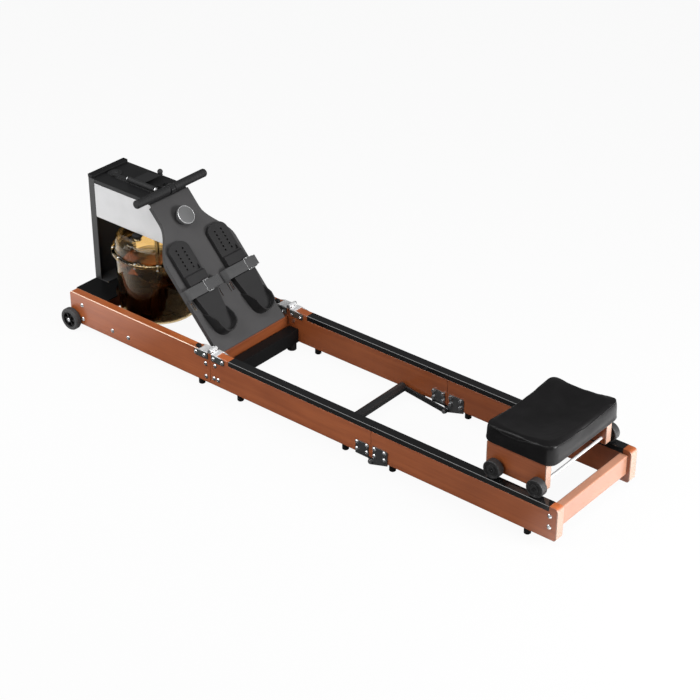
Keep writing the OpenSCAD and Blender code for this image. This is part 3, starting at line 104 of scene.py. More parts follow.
class CushionSettings(PropertyGroup):
    voxel: FloatProperty(name="Voxel size", description="Mesh size for the swelling pad",
                         default=0.005, unit="LENGTH")
    pressure: FloatProperty(name="Pressure", description="Air pressure that swells the pad",
                            default=4.0)
    draw_in: FloatProperty(name="Draw-in", description="How much smaller the pad starts",
                           default=0.0035, unit="LENGTH")
    held_rise: FloatProperty(name="Held height",
                             description="Height of the cover's part on the base",
                             default=0.012, unit="LENGTH")
    limit: FloatProperty(name="Largest swell", description="How far a point may move",
                         default=0.006, unit="LENGTH")
    piping: FloatProperty(name="Seam radius", description="Radius of the sewn edge bead",
                          default=0.0016, unit="LENGTH")


class WebbingSettings(PropertyGroup):
    strap_width: FloatProperty(name="Strap width", description="Width of a foot strap",
                               default=0.038, unit="LENGTH")
    strap_thickness: FloatProperty(name="Strap thickness", description="Thickness of a foot strap",
                                   default=0.0024, unit="LENGTH")
    belt_width: FloatProperty(name="Belt width", description="Width of the pull belt at the handle",
                              default=0.018, unit="LENGTH")
    belt_thickness: FloatProperty(name="Belt thickness", description="Thickness of the pull belt",
                                  default=0.0015, unit="LENGTH")


class TrimSettings(PropertyGroup):
    block_size: FloatVectorProperty(name="Rubber block",
                                    description="Rubber blocks at the front hinges",
                                    subtype="XYZ", size=3, default=(0.016, 0.013, 0.011))
    rim_radius: FloatProperty(name="Monitor rim", description="Radius of the bright rim's wire",
                              default=0.0013, unit="LENGTH")
    barrel_radius: FloatProperty(name="Holder barrel", description="Radius of the holder's barrel",
                                 default=0.009, unit="LENGTH")
    holder_ear: FloatProperty(name="Holder ear",
                              description="From the barrel's end to the ear's face",
                              default=0.0074, unit="LENGTH")
    cap_radius: FloatProperty(name="Cap radius", description="Radius of the holder's end caps",
                              default=0.0062, unit="LENGTH")
    cap_depth: FloatProperty(name="Cap depth", description="How far an end cap stands out",
                             default=0.0055, unit="LENGTH")
    water_level: FloatProperty(name="Water level", description="Height of the water over the floor",
                               default=0.245, unit="LENGTH")


class StageSettings(PropertyGroup):
    lens: FloatProperty(name="Lens", description="Focal length in millimetres", default=97.87)
    camera_at: FloatVectorProperty(name="Camera place", description="Where the camera stands",
                                   subtype="XYZ", size=3, default=(3.40534, -3.99625, 3.30602))
    yaw: FloatProperty(name="Turn", description="Camera turn about the vertical",
                       default=math.radians(39.766), subtype="ANGLE")
    pitch: FloatProperty(name="Tilt", description="Camera tilt below the horizon",
                         default=math.radians(30.727), subtype="ANGLE")
    end_power: FloatProperty(name="End light",
                             description="Power of the large light at the seat end",
                             default=215.0, unit="POWER")
    strip_power: FloatProperty(name="Strip light",
                               description="Power of the long light by the tank",
                               default=88.0, unit="POWER")
    front_power: FloatProperty(name="Front light", description="Power of the light by the camera",
                               default=25.0, unit="POWER")
    side_power: FloatProperty(name="Side light", description="Power of the light at the tank end",
                              default=8.0, unit="POWER")
    top_power: FloatProperty(name="Top light", description="Power of the light overhead",
                             default=54.0, unit="POWER")
    ambient: FloatProperty(name="Ambient", description="Strength of the even light all round",
                           default=0.12)


# Node helpers

def new_material(name):
    mat = bpy.data.materials.new(name)
    mat.use_nodes = True
    tree = mat.node_tree
    return mat, tree, tree.nodes["Principled BSDF"]


def add_node(tree, kind, inputs=None, **settings):
    node = tree.nodes.new(kind)
    for key, value in settings.items():
        setattr(node, key, value)
    for key, value in (inputs or {}).items():
        node.inputs[key].default_value = value
    return node


def join(tree, source, entry):
    """Links an output to a node's entry, or sets the entry where the source is a plain value."""
    if isinstance(source, bpy.types.NodeSocket):
        tree.links.new(source, entry)
    else:
        entry.default_value = source


def fill(tree, shader, entries):
    for key, source in entries.items():
        join(tree, source, shader.inputs[key])


def calc(tree, operation, *sources):
    node = add_node(tree, "ShaderNodeMath", operation=operation)
    for source, entry in zip(sources, node.inputs):
        join(tree, source, entry)
    return node.outputs[0]


def mix_tones(tree, share, under, over, blend="MIX"):
    """Lays one tone over another by a share; each is an output or a plain value."""
    node = add_node(tree, "ShaderNodeMix", data_type="RGBA", blend_type=blend)
    for source, slot in ((share, 0), (under, 6), (over, 7)):
        join(tree, source, node.inputs[slot])
    return node.outputs[2]


def object_coords(tree, scale=(1, 1, 1)):
    coords = add_node(tree, "ShaderNodeTexCoord")
    mapping = add_node(tree, "ShaderNodeMapping", {"Scale": scale})
    tree.links.new(coords.outputs["Object"], mapping.inputs["Vector"])
    return mapping.outputs["Vector"]


def axis_of(tree, vector, axis):
    split = add_node(tree, "ShaderNodeSeparateXYZ")
    tree.links.new(vector, split.inputs[0])
    return split.outputs[axis]


def ramp(tree, source, stops):
    node = add_node(tree, "ShaderNodeValToRGB")
    elements = node.color_ramp.elements
    while len(elements) < len(stops):
        elements.new(0.5)
    for element, (place, colour) in zip(elements, stops):
        element.position = place
        element.color = (*colour, 1.0)
    tree.links.new(source, node.inputs["Fac"])
    return node.outputs["Color"]


def spread(tree, source, low, high, start=0.0, end=1.0):
    """Spreads the source's span from start to end over low to high."""
    node = add_node(tree, "ShaderNodeMapRange",
                    {"From Min": start, "From Max": end, "To Min": low, "To Max": high})
    tree.links.new(source, node.inputs["Value"])
    return node.outputs["Result"]


def soft_edges(tree, radius):
    """Normals that catch the light along the edges as a small rounding does."""
    return add_node(tree, "ShaderNodeBevel", {"Radius": radius}, samples=6).outputs["Normal"]


def bump(tree, shader, source, strength, distance, under=None):
    node = add_node(tree, "ShaderNodeBump", {"Strength": strength, "Distance": distance})
    tree.links.new(source, node.inputs["Height"])
    if under is not None:
        tree.links.new(under, node.inputs["Normal"])
    tree.links.new(node.outputs["Normal"], shader.inputs["Normal"])
    return node.outputs["Normal"]


def noise(tree, vector, scale, detail=4.0, roughness=0.5, distortion=0.0):
    node = add_node(tree, "ShaderNodeTexNoise", {"Scale": scale, "Detail": detail,
                                                 "Roughness": roughness, "Distortion": distortion})
    tree.links.new(vector, node.inputs["Vector"])
    return node.outputs["Fac"]


# Materials

# How far inside an end its tone starts and is full
FADE_FROM, FADE_TO = 0.004, 0.001
# The pale tone of the painted highlight on the long upper edges, and the product of a rounded
# edge's sideways and upward normal from which that painted highlight starts and is full
EDGE_HIGHLIGHT_TONE = (0.96, 0.77, 0.60)
HIGHLIGHT_FROM, HIGHLIGHT_FULL = 0.3, 0.5
# The far rails' painted shade: their tone as a share of the near rails'
FAR_SHADE_SHARE = 0.74
# Scale of the wood's grain along the board and across it
GRAIN_SLOW, GRAIN_FAST = 1.1, 26.0
# Scale of the brush lines on steel, and the tone of bright plating
BRUSH_LINES = (6, 420, 420)
PLATING = (0.88, 0.885, 0.89)


def end_tone(tree, tint, ends, tone, axis="X"):
    """Lays another tone over the last millimetres at both places along an axis."""
    middle, half = (ends[0] + ends[1]) / 2, (ends[1] - ends[0]) / 2
    place = axis_of(tree, object_coords(tree), axis)
    reach = calc(tree, "ABSOLUTE", calc(tree, "SUBTRACT", place, middle))
    share = spread(tree, reach, 0.0, 1.0, half - FADE_FROM, half - FADE_TO)
    return mix_tones(tree, share, tint, (*tone, 1))


def painted_edge_highlight(tree, tint, rounded, most):
    """Paints a highlight on the long upper edges, where the light catches their rounding."""
    sideways = calc(tree, "ABSOLUTE", axis_of(tree, rounded, "Y"))
    upwards = calc(tree, "MAXIMUM", axis_of(tree, rounded, "Z"), 0.0)
    share = calc(tree, "MULTIPLY", sideways, upwards)
    highlight_share = spread(tree, share, 0.0, most, HIGHLIGHT_FROM, HIGHLIGHT_FULL)
    return mix_tones(tree, highlight_share, tint, (*EDGE_HIGHLIGHT_TONE, 1))


def painted_far_shade(tree, tint):
    """Darkens the rails on the far side with painted shade."""
    far = calc(tree, "GREATER_THAN", axis_of(tree, object_coords(tree), "Y"), 0.0)
    tone = (FAR_SHADE_SHARE, FAR_SHADE_SHARE * 0.97, FAR_SHADE_SHARE * 0.94, 1)
    return mix_tones(tree, far, tint, tone, "MULTIPLY")


def make_wood(name, finishes, along="X", pale=0.0, ends=None, depth=1.0, far=False, edge_highlight=0.0):
    """Lacquered reddish wood whose grain runs along X or along Y.

    pale moves its tones towards the painted sheen of the ends, depth darkens them as painted shade,
    ends are the places along X that this painted sheen shows at, far darkens the far side's rails
    with painted shade, and the last one paints a highlight on the upper edges.
    """
    mat, tree, shader = new_material(name)
    slow, fast = GRAIN_SLOW, GRAIN_FAST
    vector = object_coords(tree, (slow, fast, fast) if along == "X" else (fast, slow, fast))
    broad = noise(tree, vector, 0.9, detail=3.0, roughness=0.55, distortion=0.9)
    fine = noise(tree, vector, 9.0, detail=6.0, roughness=0.7, distortion=0.2)
    grain = add_node(tree, "ShaderNodeMix", {"Factor": 0.35}, data_type="FLOAT")
    tree.links.new(broad, grain.inputs[2])
    tree.links.new(fine, grain.inputs[3])
    # pale moves both tones towards the painted sheen of the ends
    light, dark = (tuple((c + (p - c) * pale) * depth for c, p in zip(tone, finishes.wood_end_sheen))
                   for tone in (finishes.wood_light, finishes.wood_dark))
    middle = tuple((a + b) / 2 for a, b in zip(light, dark))
    colour = ramp(tree, grain.outputs[0], [(0.30, dark), (0.5, middle), (0.72, light)])
    patches = noise(tree, object_coords(tree), 5.0, detail=2.0)
    shade = ramp(tree, patches, [(0.3, (0.90, 0.88, 0.87)), (0.7, (1.06, 1.05, 1.04))])
    tint = mix_tones(tree, 1.0, colour, shade, "MULTIPLY")
    # Painted shade on the far side's rails
    if far:
        tint = painted_far_shade(tree, tint)
    # Painted sheen on the ends, where the strong end light falls
    if ends is not None:
        tint = end_tone(tree, tint, ends, tuple(finishes.wood_end_sheen))
    rounded = soft_edges(tree, 0.0048)
    # Painted highlight along the upper edges
    if edge_highlight > 0:
        tint = painted_edge_highlight(tree, tint, rounded, edge_highlight)
    fill(tree, shader, {"Base Color": tint, "Roughness": spread(tree, fine, 0.26, 0.38),
                        "Specular IOR Level": 0.75})
    bump(tree, shader, fine, 0.15, 0.0005, rounded)
    return mat


def make_coated(name, tone, rough, grain, depth, shine=0.3, edge=0.0012, metallic=0.0):
    """Powder coat or moulded plastic with a fine grain, a slight change of tone and soft edges."""
    mat, tree, shader = new_material(name)
    vector = object_coords(tree)
    grit = noise(tree, vector, grain, detail=3.0, roughness=0.6)
    cloud = noise(tree, vector, 9.0, detail=3.0)
    low = tuple(c * 0.93 for c in tone)
    high = tuple(min(1.0, c * 1.07) for c in tone)
    fill(tree, shader, {
        "Base Color": ramp(tree, cloud, [(0.35, low), (0.65, high)]),
        "Roughness": spread(tree, grit, rough - 0.05, rough + 0.07),
        "Specular IOR Level": shine,
        "Metallic": metallic,
    })
    bump(tree, shader, grit, depth, 0.0004, soft_edges(tree, edge))
    return mat


def make_metal(name, tone, rough, brushed=0.0, metallic=1.0, dark=None):
    """Bare or plated steel, with fine brush lines, and a dark part where one is given."""
    mat, tree, shader = new_material(name)
    brush = noise(tree, object_coords(tree, BRUSH_LINES), 1.0, detail=4.0, roughness=0.65)
    smudge = noise(tree, object_coords(tree), 22.0, detail=3.0)
    low = tuple(c * 0.88 for c in tone)
    tint = ramp(tree, smudge, [(0.35, low), (0.65, tone)])
    if dark is not None:
        tint = end_tone(tree, tint, *dark)
    fill(tree, shader, {"Base Color": tint, "Metallic": metallic,
                        "Roughness": spread(tree, smudge, rough * 0.75, rough * 1.35)})
    bump(tree, shader, brush, 0.05 + brushed, 0.0002, soft_edges(tree, 0.0009))
    return mat


def make_leather(name, tone):
    """Soft black upholstery with a pebbled grain."""
    mat, tree, shader = new_material(name)
    vector = object_coords(tree)
    pebble = add_node(tree, "ShaderNodeTexVoronoi", {"Scale": 520.0, "Randomness": 0.9},
                      feature="SMOOTH_F1")
    tree.links.new(vector, pebble.inputs["Vector"])
    crease = noise(tree, vector, 60.0, detail=5.0, roughness=0.6, distortion=0.4)
    cloud = noise(tree, vector, 12.0, detail=3.0)
    high = tuple(c * 1.3 + 0.001 for c in tone)
    fill(tree, shader, {
        "Base Color": ramp(tree, cloud, [(0.35, tone), (0.7, high)]),
        "Roughness": spread(tree, crease, 0.27, 0.37),
        "Specular IOR Level": 0.14,
        "Sheen Weight": 0.01,
        "Sheen Roughness": 0.4,
    })
    first = bump(tree, shader, pebble.outputs["Distance"], 0.22, 0.0005)
    bump(tree, shader, crease, 0.08, 0.0008, first)
    return mat


def make_webbing(name, tone, along):
    """Woven webbing: ribs across and twill along, on Object coordinates."""
    mat, tree, shader = new_material(name)
    vector = object_coords(tree)
    threads = []
    for scale, axis in ((210.0, along), (160.0, "X" if along == "Y" else "Y")):
        wave = add_node(tree, "ShaderNodeTexWave",
                        {"Scale": scale, "Distortion": 0.6, "Detail": 1.0},
                        wave_type="BANDS", bands_direction=axis)
        tree.links.new(vector, wave.inputs["Vector"])
        threads.append(wave.outputs["Fac"])
    weave = calc(tree, "MULTIPLY", *threads)
    high = tuple(c * 1.9 + 0.004 for c in tone)
    fill(tree, shader, {"Base Color": ramp(tree, weave, [(0.1, tone), (0.8, high)]),
                        "Roughness": 0.74, "Sheen Weight": 0.12, "Sheen Roughness": 0.5})
    bump(tree, shader, weave, 0.5, 0.0006)
    return mat


def make_tank(name, tone):
    """Clear amber shell with a polished face."""
    mat, tree, shader = new_material(name)
    cloud = noise(tree, object_coords(tree), 6.0, detail=2.0)
    smear = noise(tree, object_coords(tree, (1, 1, 0.3)), 18.0, detail=2.0)
    low = tuple(c * 0.86 for c in tone)
    fill(tree, shader, {
        "Base Color": ramp(tree, cloud, [(0.35, low), (0.65, tone)]),
        "Roughness": spread(tree, smear, 0.02, 0.06),
        "IOR": 1.40,
        "Transmission Weight": 1.0,
        "Specular Tint": (0.36, 0.36, 0.36, 1),
    })
    bump(tree, shader, smear, 0.012, 0.002)
    return mat


def make_water(name):
    """Water tinted dark brown, a painted shade for the tank's dim inside as it looks through the
    shell.
    """
    mat, tree, shader = new_material(name)
    swirl = noise(tree, object_coords(tree, (1, 1, 3)), 7.0, detail=2.0, distortion=0.4)
    fill(tree, shader, {
        "Base Color": ramp(tree, swirl, [(0.3, (0.14, 0.043, 0.009)), (0.7, (0.32, 0.11, 0.022))]),
        "Roughness": 0.05,
        "IOR": 1.33,
        "Specular Tint": (0.3, 0.3, 0.3, 1),
        "Transmission Weight": 0.96,
    })
    bump(tree, shader, swirl, 0.04, 0.003)
    return mat


def make_foam(name, tone):
    """Foam grip with fine pores."""
    mat, tree, shader = new_material(name)
    vector = object_coords(tree)
    pores = add_node(tree, "ShaderNodeTexVoronoi", {"Scale": 650.0}, feature="F1")
    tree.links.new(vector, pores.inputs["Vector"])
    depth = pores.outputs["Distance"]
    high = tuple(c * 1.6 + 0.003 for c in tone)
    fill(tree, shader, {"Base Color": ramp(tree, depth, [(0.1, tone), (0.7, high)]),
                        "Roughness": spread(tree, noise(tree, vector, 40.0), 0.46, 0.62),
                        "Specular IOR Level": 0.16})
    bump(tree, shader, depth, 0.25, 0.0005)
    return mat


def span(name, axis=ALONG):
    """Where a node begins and ends along an axis."""
    low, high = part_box(name)
    return low[axis], high[axis]


RAIL_TOP = span("front_rails", UP)[1]

# Boards: the material's name and its choices for make_wood. The far side's rails and the crosswise
# beams are darkened with painted shade, the rear rails' and seat sides' ends and the rear beam are
# paled with a painted sheen, and the front rails' upper edges get a painted highlight
WOODS = {
    "wood_front": ("wood_front_rails", {"far": True, "edge_highlight": 0.88}),
    "wood_x": ("wood_grain_lengthwise", {"far": True}),
    "wood_y": ("wood_grain_crosswise", {"along": "Y", "depth": 0.52}),
    "wood_rear": ("wood_rear_rails", {"ends": (-BEYOND, span("rear_rails")[1]), "far": True}),
    "wood_seat": ("wood_seat_sides", {"ends": span("seat_sides")}),
    "wood_beam": ("wood_rear_beam", {"along": "Y", "pale": 0.6}),
}

# Coats and mouldings: the material's name, its tone or the setting that holds it, roughness, the
# grain's scale and depth, shine, edge radius and share of metal
COATS = {
    "box_sheet": ("box_powder_coat", (0.0105, 0.0105, 0.0108), 0.42, 900.0, 0.08, 0.2, 0.002),
    "black_sheet": ("black_powder_coat", "sheet_black", 0.36, 900.0, 0.08, 0.12, 0.002),
    "grey_sheet": ("grey_powder_coat", (0.024, 0.024, 0.0245), 0.36, 900.0, 0.08, 0.30, 0.0024),
    "board": ("charcoal_board", "board_grey", 0.52, 700.0, 0.14, 0.26, 0.0014),
    "panel": ("light_panel", "panel_light", 0.30, 500.0, 0.02, 0.5, 0.001, 0.15),
    "plastic": ("black_moulding", (0.0065, 0.0065, 0.0067), 0.42, 1100.0, 0.12, 0.15, 0.002),
    "plate": ("foot_plate_moulding", (0.0135, 0.0132, 0.0135), 0.48, 1000.0, 0.14, 0.2, 0.002),
    "holder": ("tablet_holder_moulding", (0.0165, 0.0165, 0.017), 0.58, 900.0, 0.08, 0.16, 0.0016),
    "monitor": ("monitor_face", (0.085, 0.085, 0.086), 0.40, 900.0, 0.04),
    "gloss": ("gloss_track", (0.006, 0.006, 0.0063), 0.10, 300.0, 0.015, 0.5, 0.0005),
    "axle": ("black_axle", (0.012, 0.012, 0.0125), 0.22, 600.0, 0.03, 0.5, 0.001),
    "rubber": ("black_rubber", (0.008, 0.008, 0.0083), 0.55, 600.0, 0.16, 0.15, 0.0014),
    "seat_wheel": ("seat_wheel_tread", (0.022, 0.022, 0.0225), 0.36, 500.0, 0.08, 0.3, 0.002),
    "tyre": ("grey_tyre", (0.036, 0.036, 0.0365), 0.52, 500.0, 0.16, 0.3, 0.0016),
}

# Metals: the material's name, tone, roughness, depth of the brush lines, share of metal, and the
# dark part's limits, tone and axis. The axles are dark past the wooden sides, and the hinge
# plates are dark below the rail's top, a painted shade that stands in for the dark reflections of
# their sides
METALS = {
    "steel": ("brushed_steel", (0.55, 0.56, 0.57), 0.26, 0.10),
    "chrome": ("bright_plating", PLATING, 0.15, 0.0, 0.55),
    "buckle": ("wire_buckle", (0.72, 0.724, 0.728), 0.17, 0.0, 0.9),
    "seat_rod": ("bright_seat_axle", PLATING, 0.15, 0.0, 0.55,
                 (span("seat_sides", ACROSS), (0.02, 0.02, 0.0205), "Y")),
    "hinge": ("hinge_plate", PLATING, 0.15, 0.0, 0.55,
              ((RAIL_TOP - 0.003, BEYOND), (0.085, 0.092, 0.087), "Z")),
    "dark_steel": ("dark_steel", (0.21, 0.213, 0.216), 0.42, 0.12),
}

MATERIALS = {}


def build_materials(finishes):
    """Makes each finish once."""
    for key, (name, choices) in WOODS.items():
        MATERIALS[key] = make_wood(name, finishes, **choices)
    for key, (name, tone, *values) in COATS.items():
        if isinstance(tone, str):
            tone = tuple(getattr(finishes, tone))
        MATERIALS[key] = make_coated(name, tone, *values)
    for key, values in METALS.items():
        MATERIALS[key] = make_metal(*values)
    MATERIALS.update({
        "leather": make_leather("cushion_leather", tuple(finishes.leather_black)),
        "webbing": make_webbing("strap_webbing", (0.0195, 0.0195, 0.02), "Y"),
        "belt": make_webbing("belt_webbing", (0.014, 0.014, 0.0145), "X"),
        "grip": make_foam("grip_foam", (0.0075, 0.0075, 0.0078)),
        "tank": make_tank("amber_shell", tuple(finishes.tank_amber)),
        "water": make_water("tank_water"),
    })


FINISH_OF = {
    "wood_front": ["front_rails"],
    "wood_x": ["middle_rails"],
    "wood_rear": ["rear_rails"],
    "wood_seat": ["seat_sides"],
    "wood_y": ["front_beams"],
    "wood_beam": ["rear_crossbeam"],
    "black_sheet": ["base_tray", "tank_cradle", "middle_cross_member", "seat_base"],
    "box_sheet": ["box_shell"],
    "grey_sheet": ["head_post"],
    "board": ["foot_board"],
    "panel": ["side_panels"],
    "plastic": ["head_top_bar", "handle_rest", "belt_drum", "paddle_wheel", "left_wheel_hub",
                "right_wheel_hub"],
    "plate": ["left_foot_plate", "right_foot_plate"],
    "holder": ["tablet_base", "tablet_rest"],
    "monitor": ["monitor"],
    "steel": ["shaft_bearings", "tank_bolts", "front_bolts", "middle_bolts", "rear_bolts",
              "hinge_pins", "recoil_spring", "guide_roller", "paddle_shaft"],
    "axle": ["handle_bar", "release_bar"],
    "hinge": ["fold_brackets_front", "fold_brackets_rear"],
    "buckle": ["strap_buckles"],
    "seat_rod": ["seat_axles"],
    "dark_steel": ["end_brackets_middle", "end_brackets_rear"],
    "gloss": ["middle_tracks", "rear_tracks"],
    "leather": ["seat_cushion"],
    "webbing": ["foot_straps"],
    "belt": ["belt", "belt_lead", "belt_coil"],
    "rubber": ["front_feet", "middle_feet", "rear_feet", "tank_seals"],
    "seat_wheel": ["seat_front_wheels", "seat_rear_wheels"],
    "tyre": ["left_wheel_tyre", "right_wheel_tyre"],
    "grip": ["handle_grips"],
    "tank": ["tank_lower", "tank_upper"],
}


def dress_nodes():
    for finish, names in FINISH_OF.items():
        for name in names:
            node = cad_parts[name]
            if not node.material_slots:
                node.data.materials.append(MATERIALS[finish])
            for entry in node.material_slots:
                entry.material = MATERIALS[finish]


# Mesh helpers

def clamp(value, low=0.0, high=1.0):
    return max(low, min(high, value))


def clear_selection():
    if bpy.context.object and bpy.context.object.mode != "OBJECT":
        bpy.ops.object.mode_set(mode="OBJECT")
    bpy.ops.object.select_all(action="DESELECT")


def select_only(obj):
    clear_selection()
    obj.select_set(True)
    bpy.context.view_layer.objects.active = obj


def start_piece(name):
    obj = bpy.context.object
    obj.name = name
    obj.data.name = name
    return obj


def settle(obj):
    """Puts the piece's place into its mesh, with its normals outwards."""
    select_only(obj)
    bpy.ops.object.transform_apply(location=True, rotation=True, scale=True)
    bpy.ops.object.mode_set(mode="EDIT")
    bpy.ops.mesh.select_all(action="SELECT")
    bpy.ops.mesh.remove_doubles(threshold=MERGE)
    bpy.ops.mesh.normals_make_consistent(inside=False)
    bpy.ops.object.mode_set(mode="OBJECT")


def modify(obj, kind, **settings):
    """Adds a modifier, sets it and applies it."""
    modifier = obj.modifiers.new(kind.lower(), kind)
    for key, value in settings.items():
        setattr(modifier, key, value)
    select_only(obj)
    bpy.ops.object.modifier_apply(modifier=modifier.name)


def bevelled(obj, width, segments=3):
    modify(obj, "BEVEL", width=width, segments=segments, limit_method="ANGLE")


def smooth(obj, angle=35):
    select_only(obj)
    bpy.ops.object.shade_smooth_by_angle(angle=math.radians(angle))


def finish_piece(obj, body, finish, nodes=()):
    """Gives a piece its finish and its body, and hides the nodes that it stands for."""
    obj.data.materials.clear()
    obj.data.materials.append(MATERIALS[finish])
    if nodes:
        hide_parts(*nodes)
    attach(obj, body)


def copy_of(node, name):
    """A merged copy of a CAD node's mesh as a new object."""
    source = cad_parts[node]
    clear_selection()
    bpy.ops.mesh.primitive_plane_add(size=0.01)
    obj = start_piece(name)
    mesh = source.data.copy()
    mesh.transform(source.matrix_world)
    mesh.name = name
    obj.data = mesh
    settle(obj)
    return obj


def ribbon(name, path, across, width, thickness):
    """Flat webbing: one edge is extruded along the path, then thickened, with soft edges."""
    across = Vector(across).normalized()
    clear_selection()
    bpy.ops.mesh.primitive_plane_add(size=0.01)
    obj = start_piece(name)
    for vertex, side in zip(obj.data.vertices, (-1, 1, -1, 1)):
        vertex.co = Vector(path[0]) + across * side * width / 2
    bpy.ops.object.mode_set(mode="EDIT")
    bpy.ops.mesh.select_all(action="SELECT")
    bpy.ops.mesh.remove_doubles(threshold=MERGE)
    for start, end in zip(path, path[1:]):
        bpy.ops.mesh.extrude_region_move(
            TRANSFORM_OT_translate={"value": Vector(end) - Vector(start)})
    bpy.ops.object.mode_set(mode="OBJECT")
    settle(obj)
    modify(obj, "SOLIDIFY", thickness=thickness, offset=0.0)
    bevelled(obj, thickness * 0.3, 2)
    settle(obj)
    smooth(obj, 50)
    return obj


def on_board(u, v, w):
    return BOARD_FOOT + UP_BOARD * u + OFF_BOARD * w + Vector((0.0, v, 0.0))


def rounded_path(points, radius=0.006, steps=5):
    """The path with its corners rounded."""
    points = [Vector(p) for p in points]
    result = [points[0]]
    for before, corner, after in zip(points, points[1:], points[2:]):
        reach = min(radius, (corner - before).length * 0.45, (after - corner).length * 0.45)
        first = corner + (before - corner).normalized() * reach
        last = corner + (after - corner).normalized() * reach
        for step in range(steps + 1):
            t = step / steps
            result.append(first * (1 - t) ** 2 + corner * 2 * t * (1 - t) + last * t * t)
    result.append(points[-1])
    return result


# Operators

class ROWER_OT_finishes(Operator):
    """Makes the finishes and puts them on the frame's own nodes"""
    bl_idname = "rower.finishes"
    bl_label = "Finishes"

    def execute(self, context):
        build_materials(context.scene.rower_finish)
        dress_nodes()
        return {"FINISHED"}


class ROWER_OT_cushion(Operator):
    """Swells the seat cushion's cover and sews its edge bead"""
    bl_idname = "rower.cushion"
    bl_label = "Seat cushion"

    # How many frames the cover swells for, and its cloth's settings
    steps = 20
    cloth = {"quality": 6, "mass": 0.4, "tension_stiffness": 80.0, "compression_stiffness": 80.0,
             "shear_stiffness": 60.0, "bending_stiffness": 6.0, "use_pressure": True}

    def execute(self, context):
        sizes = context.scene.rower_cushion
        pad = copy_of("seat_cushion", "cushion_cover")
        foot = span("seat_cushion", UP)[0]
        modify(pad, "REMESH", mode="VOXEL", voxel_size=sizes.voxel)
        modify(pad, "SMOOTH", factor=0.5, iterations=6)
        self.swell(context.scene, pad, foot, sizes)
        for vertex in pad.data.vertices:
            vertex.co.z = max(vertex.co.z, foot)
        modify(pad, "SUBSURF", levels=1, render_levels=1)
        settle(pad)
        smooth(pad, 60)
        finish_piece(pad, "seat", "leather", ["seat_cushion"])
        self.sew_edge(pad, sizes.piping)
        return {"FINISHED"}

    def swell(self, scene, pad, foot, sizes):
        """Blows the drawn-in cover up, caps how far it went and calms it; its foot is held."""
        rest = [vertex.co.copy() for vertex in pad.data.vertices]
        # Fully held up to 0.6 of the held height, and free from 1.6 times it
        held = pad.vertex_groups.new(name="held")
        for vertex in pad.data.vertices:
            rise = (vertex.co.z - foot) / sizes.held_rise
            held.add([vertex.index], clamp(1.6 - rise), "REPLACE")
            vertex.co = vertex.co - vertex.normal * sizes.draw_in * clamp(rise)
        start = [vertex.co.copy() for vertex in pad.data.vertices]
        cloth = pad.modifiers.new("swell", "CLOTH")
        for key, value in self.cloth.items():
            setattr(cloth.settings, key, value)
        cloth.settings.vertex_group_mass = held.name
        cloth.settings.uniform_pressure_force = sizes.pressure
        cloth.settings.effector_weights.gravity = 0.0
        for step in range(1, self.steps + 1):
            scene.frame_set(step)
        select_only(pad)
        bpy.ops.object.modifier_apply(modifier=cloth.name)
        for vertex, first, flat in zip(pad.data.vertices, start, rest):
            move = vertex.co - first
            if move.length > sizes.limit:
                move = move.normalized() * sizes.limit
            rise = clamp((flat.z - foot) / sizes.held_rise - 0.3)
            vertex.co = flat.lerp(first + move, rise)
        scene.frame_set(1)
        modify(pad, "SMOOTH", factor=0.5, iterations=3)

    def sew_edge(self, pad, radius):
        """A thin bead where the top panel meets the side panel, laid on the cover."""
        low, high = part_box("seat_cushion")
        middle = (Vector(low) + Vector(high)) / 2
        half = ((high[0] - low[0]) / 2, (high[1] - low[1]) / 2)
        count, sides = 240, 8
        clear_selection()
        bpy.ops.mesh.primitive_torus_add(major_radius=1.0, minor_radius=radius,
                                         major_segments=count, minor_segments=sides)
        bead = start_piece("cushion_seam")
        rings = [bead.data.vertices[sides * i:sides * (i + 1)] for i in range(count)]
        for ring in rings:
            angle = math.atan2(ring[0].co.y, ring[0].co.x)
            hub = Vector((math.cos(angle), math.sin(angle), 0.0))
            place, out = self.seam_point(pad, middle, half, hub, high[2] + 0.1)
            for vertex in ring:
                shift = vertex.co - hub
                vertex.co = place + out * shift.dot(hub) + Vector((0, 0, shift.z))
        settle(bead)
        smooth(bead, 60)
        finish_piece(bead, "seat", "leather")

    def seam_point(self, pad, middle, half, turn, above):
        """The cover's point under the seam's outline, a rectangle with round corners.

        The outline moves inwards by a step at a time until it lies over the cover.
        """
        inset, corner = 0.009, 0.026
        step, tries = 0.0015, 12
        for _ in range(tries):
            reach = [side - inset - corner for side in half]
            edge = Vector(turn.xy) / max(abs(turn.x) / half[0], abs(turn.y) / half[1])
            core = Vector([clamp(at, -side, side) for at, side in zip(edge, reach)])
            out = (edge - core).normalized()
            spot = core + out * corner
            start = Vector((middle.x + spot.x, middle.y + spot.y, above))
            hit, place, _, _ = pad.ray_cast(start, Vector((0, 0, -1)))
            if hit:
                return place, Vector((out.x, out.y, 0.0))
            inset += step
        raise RuntimeError("the cushion's edge bead missed the cover")


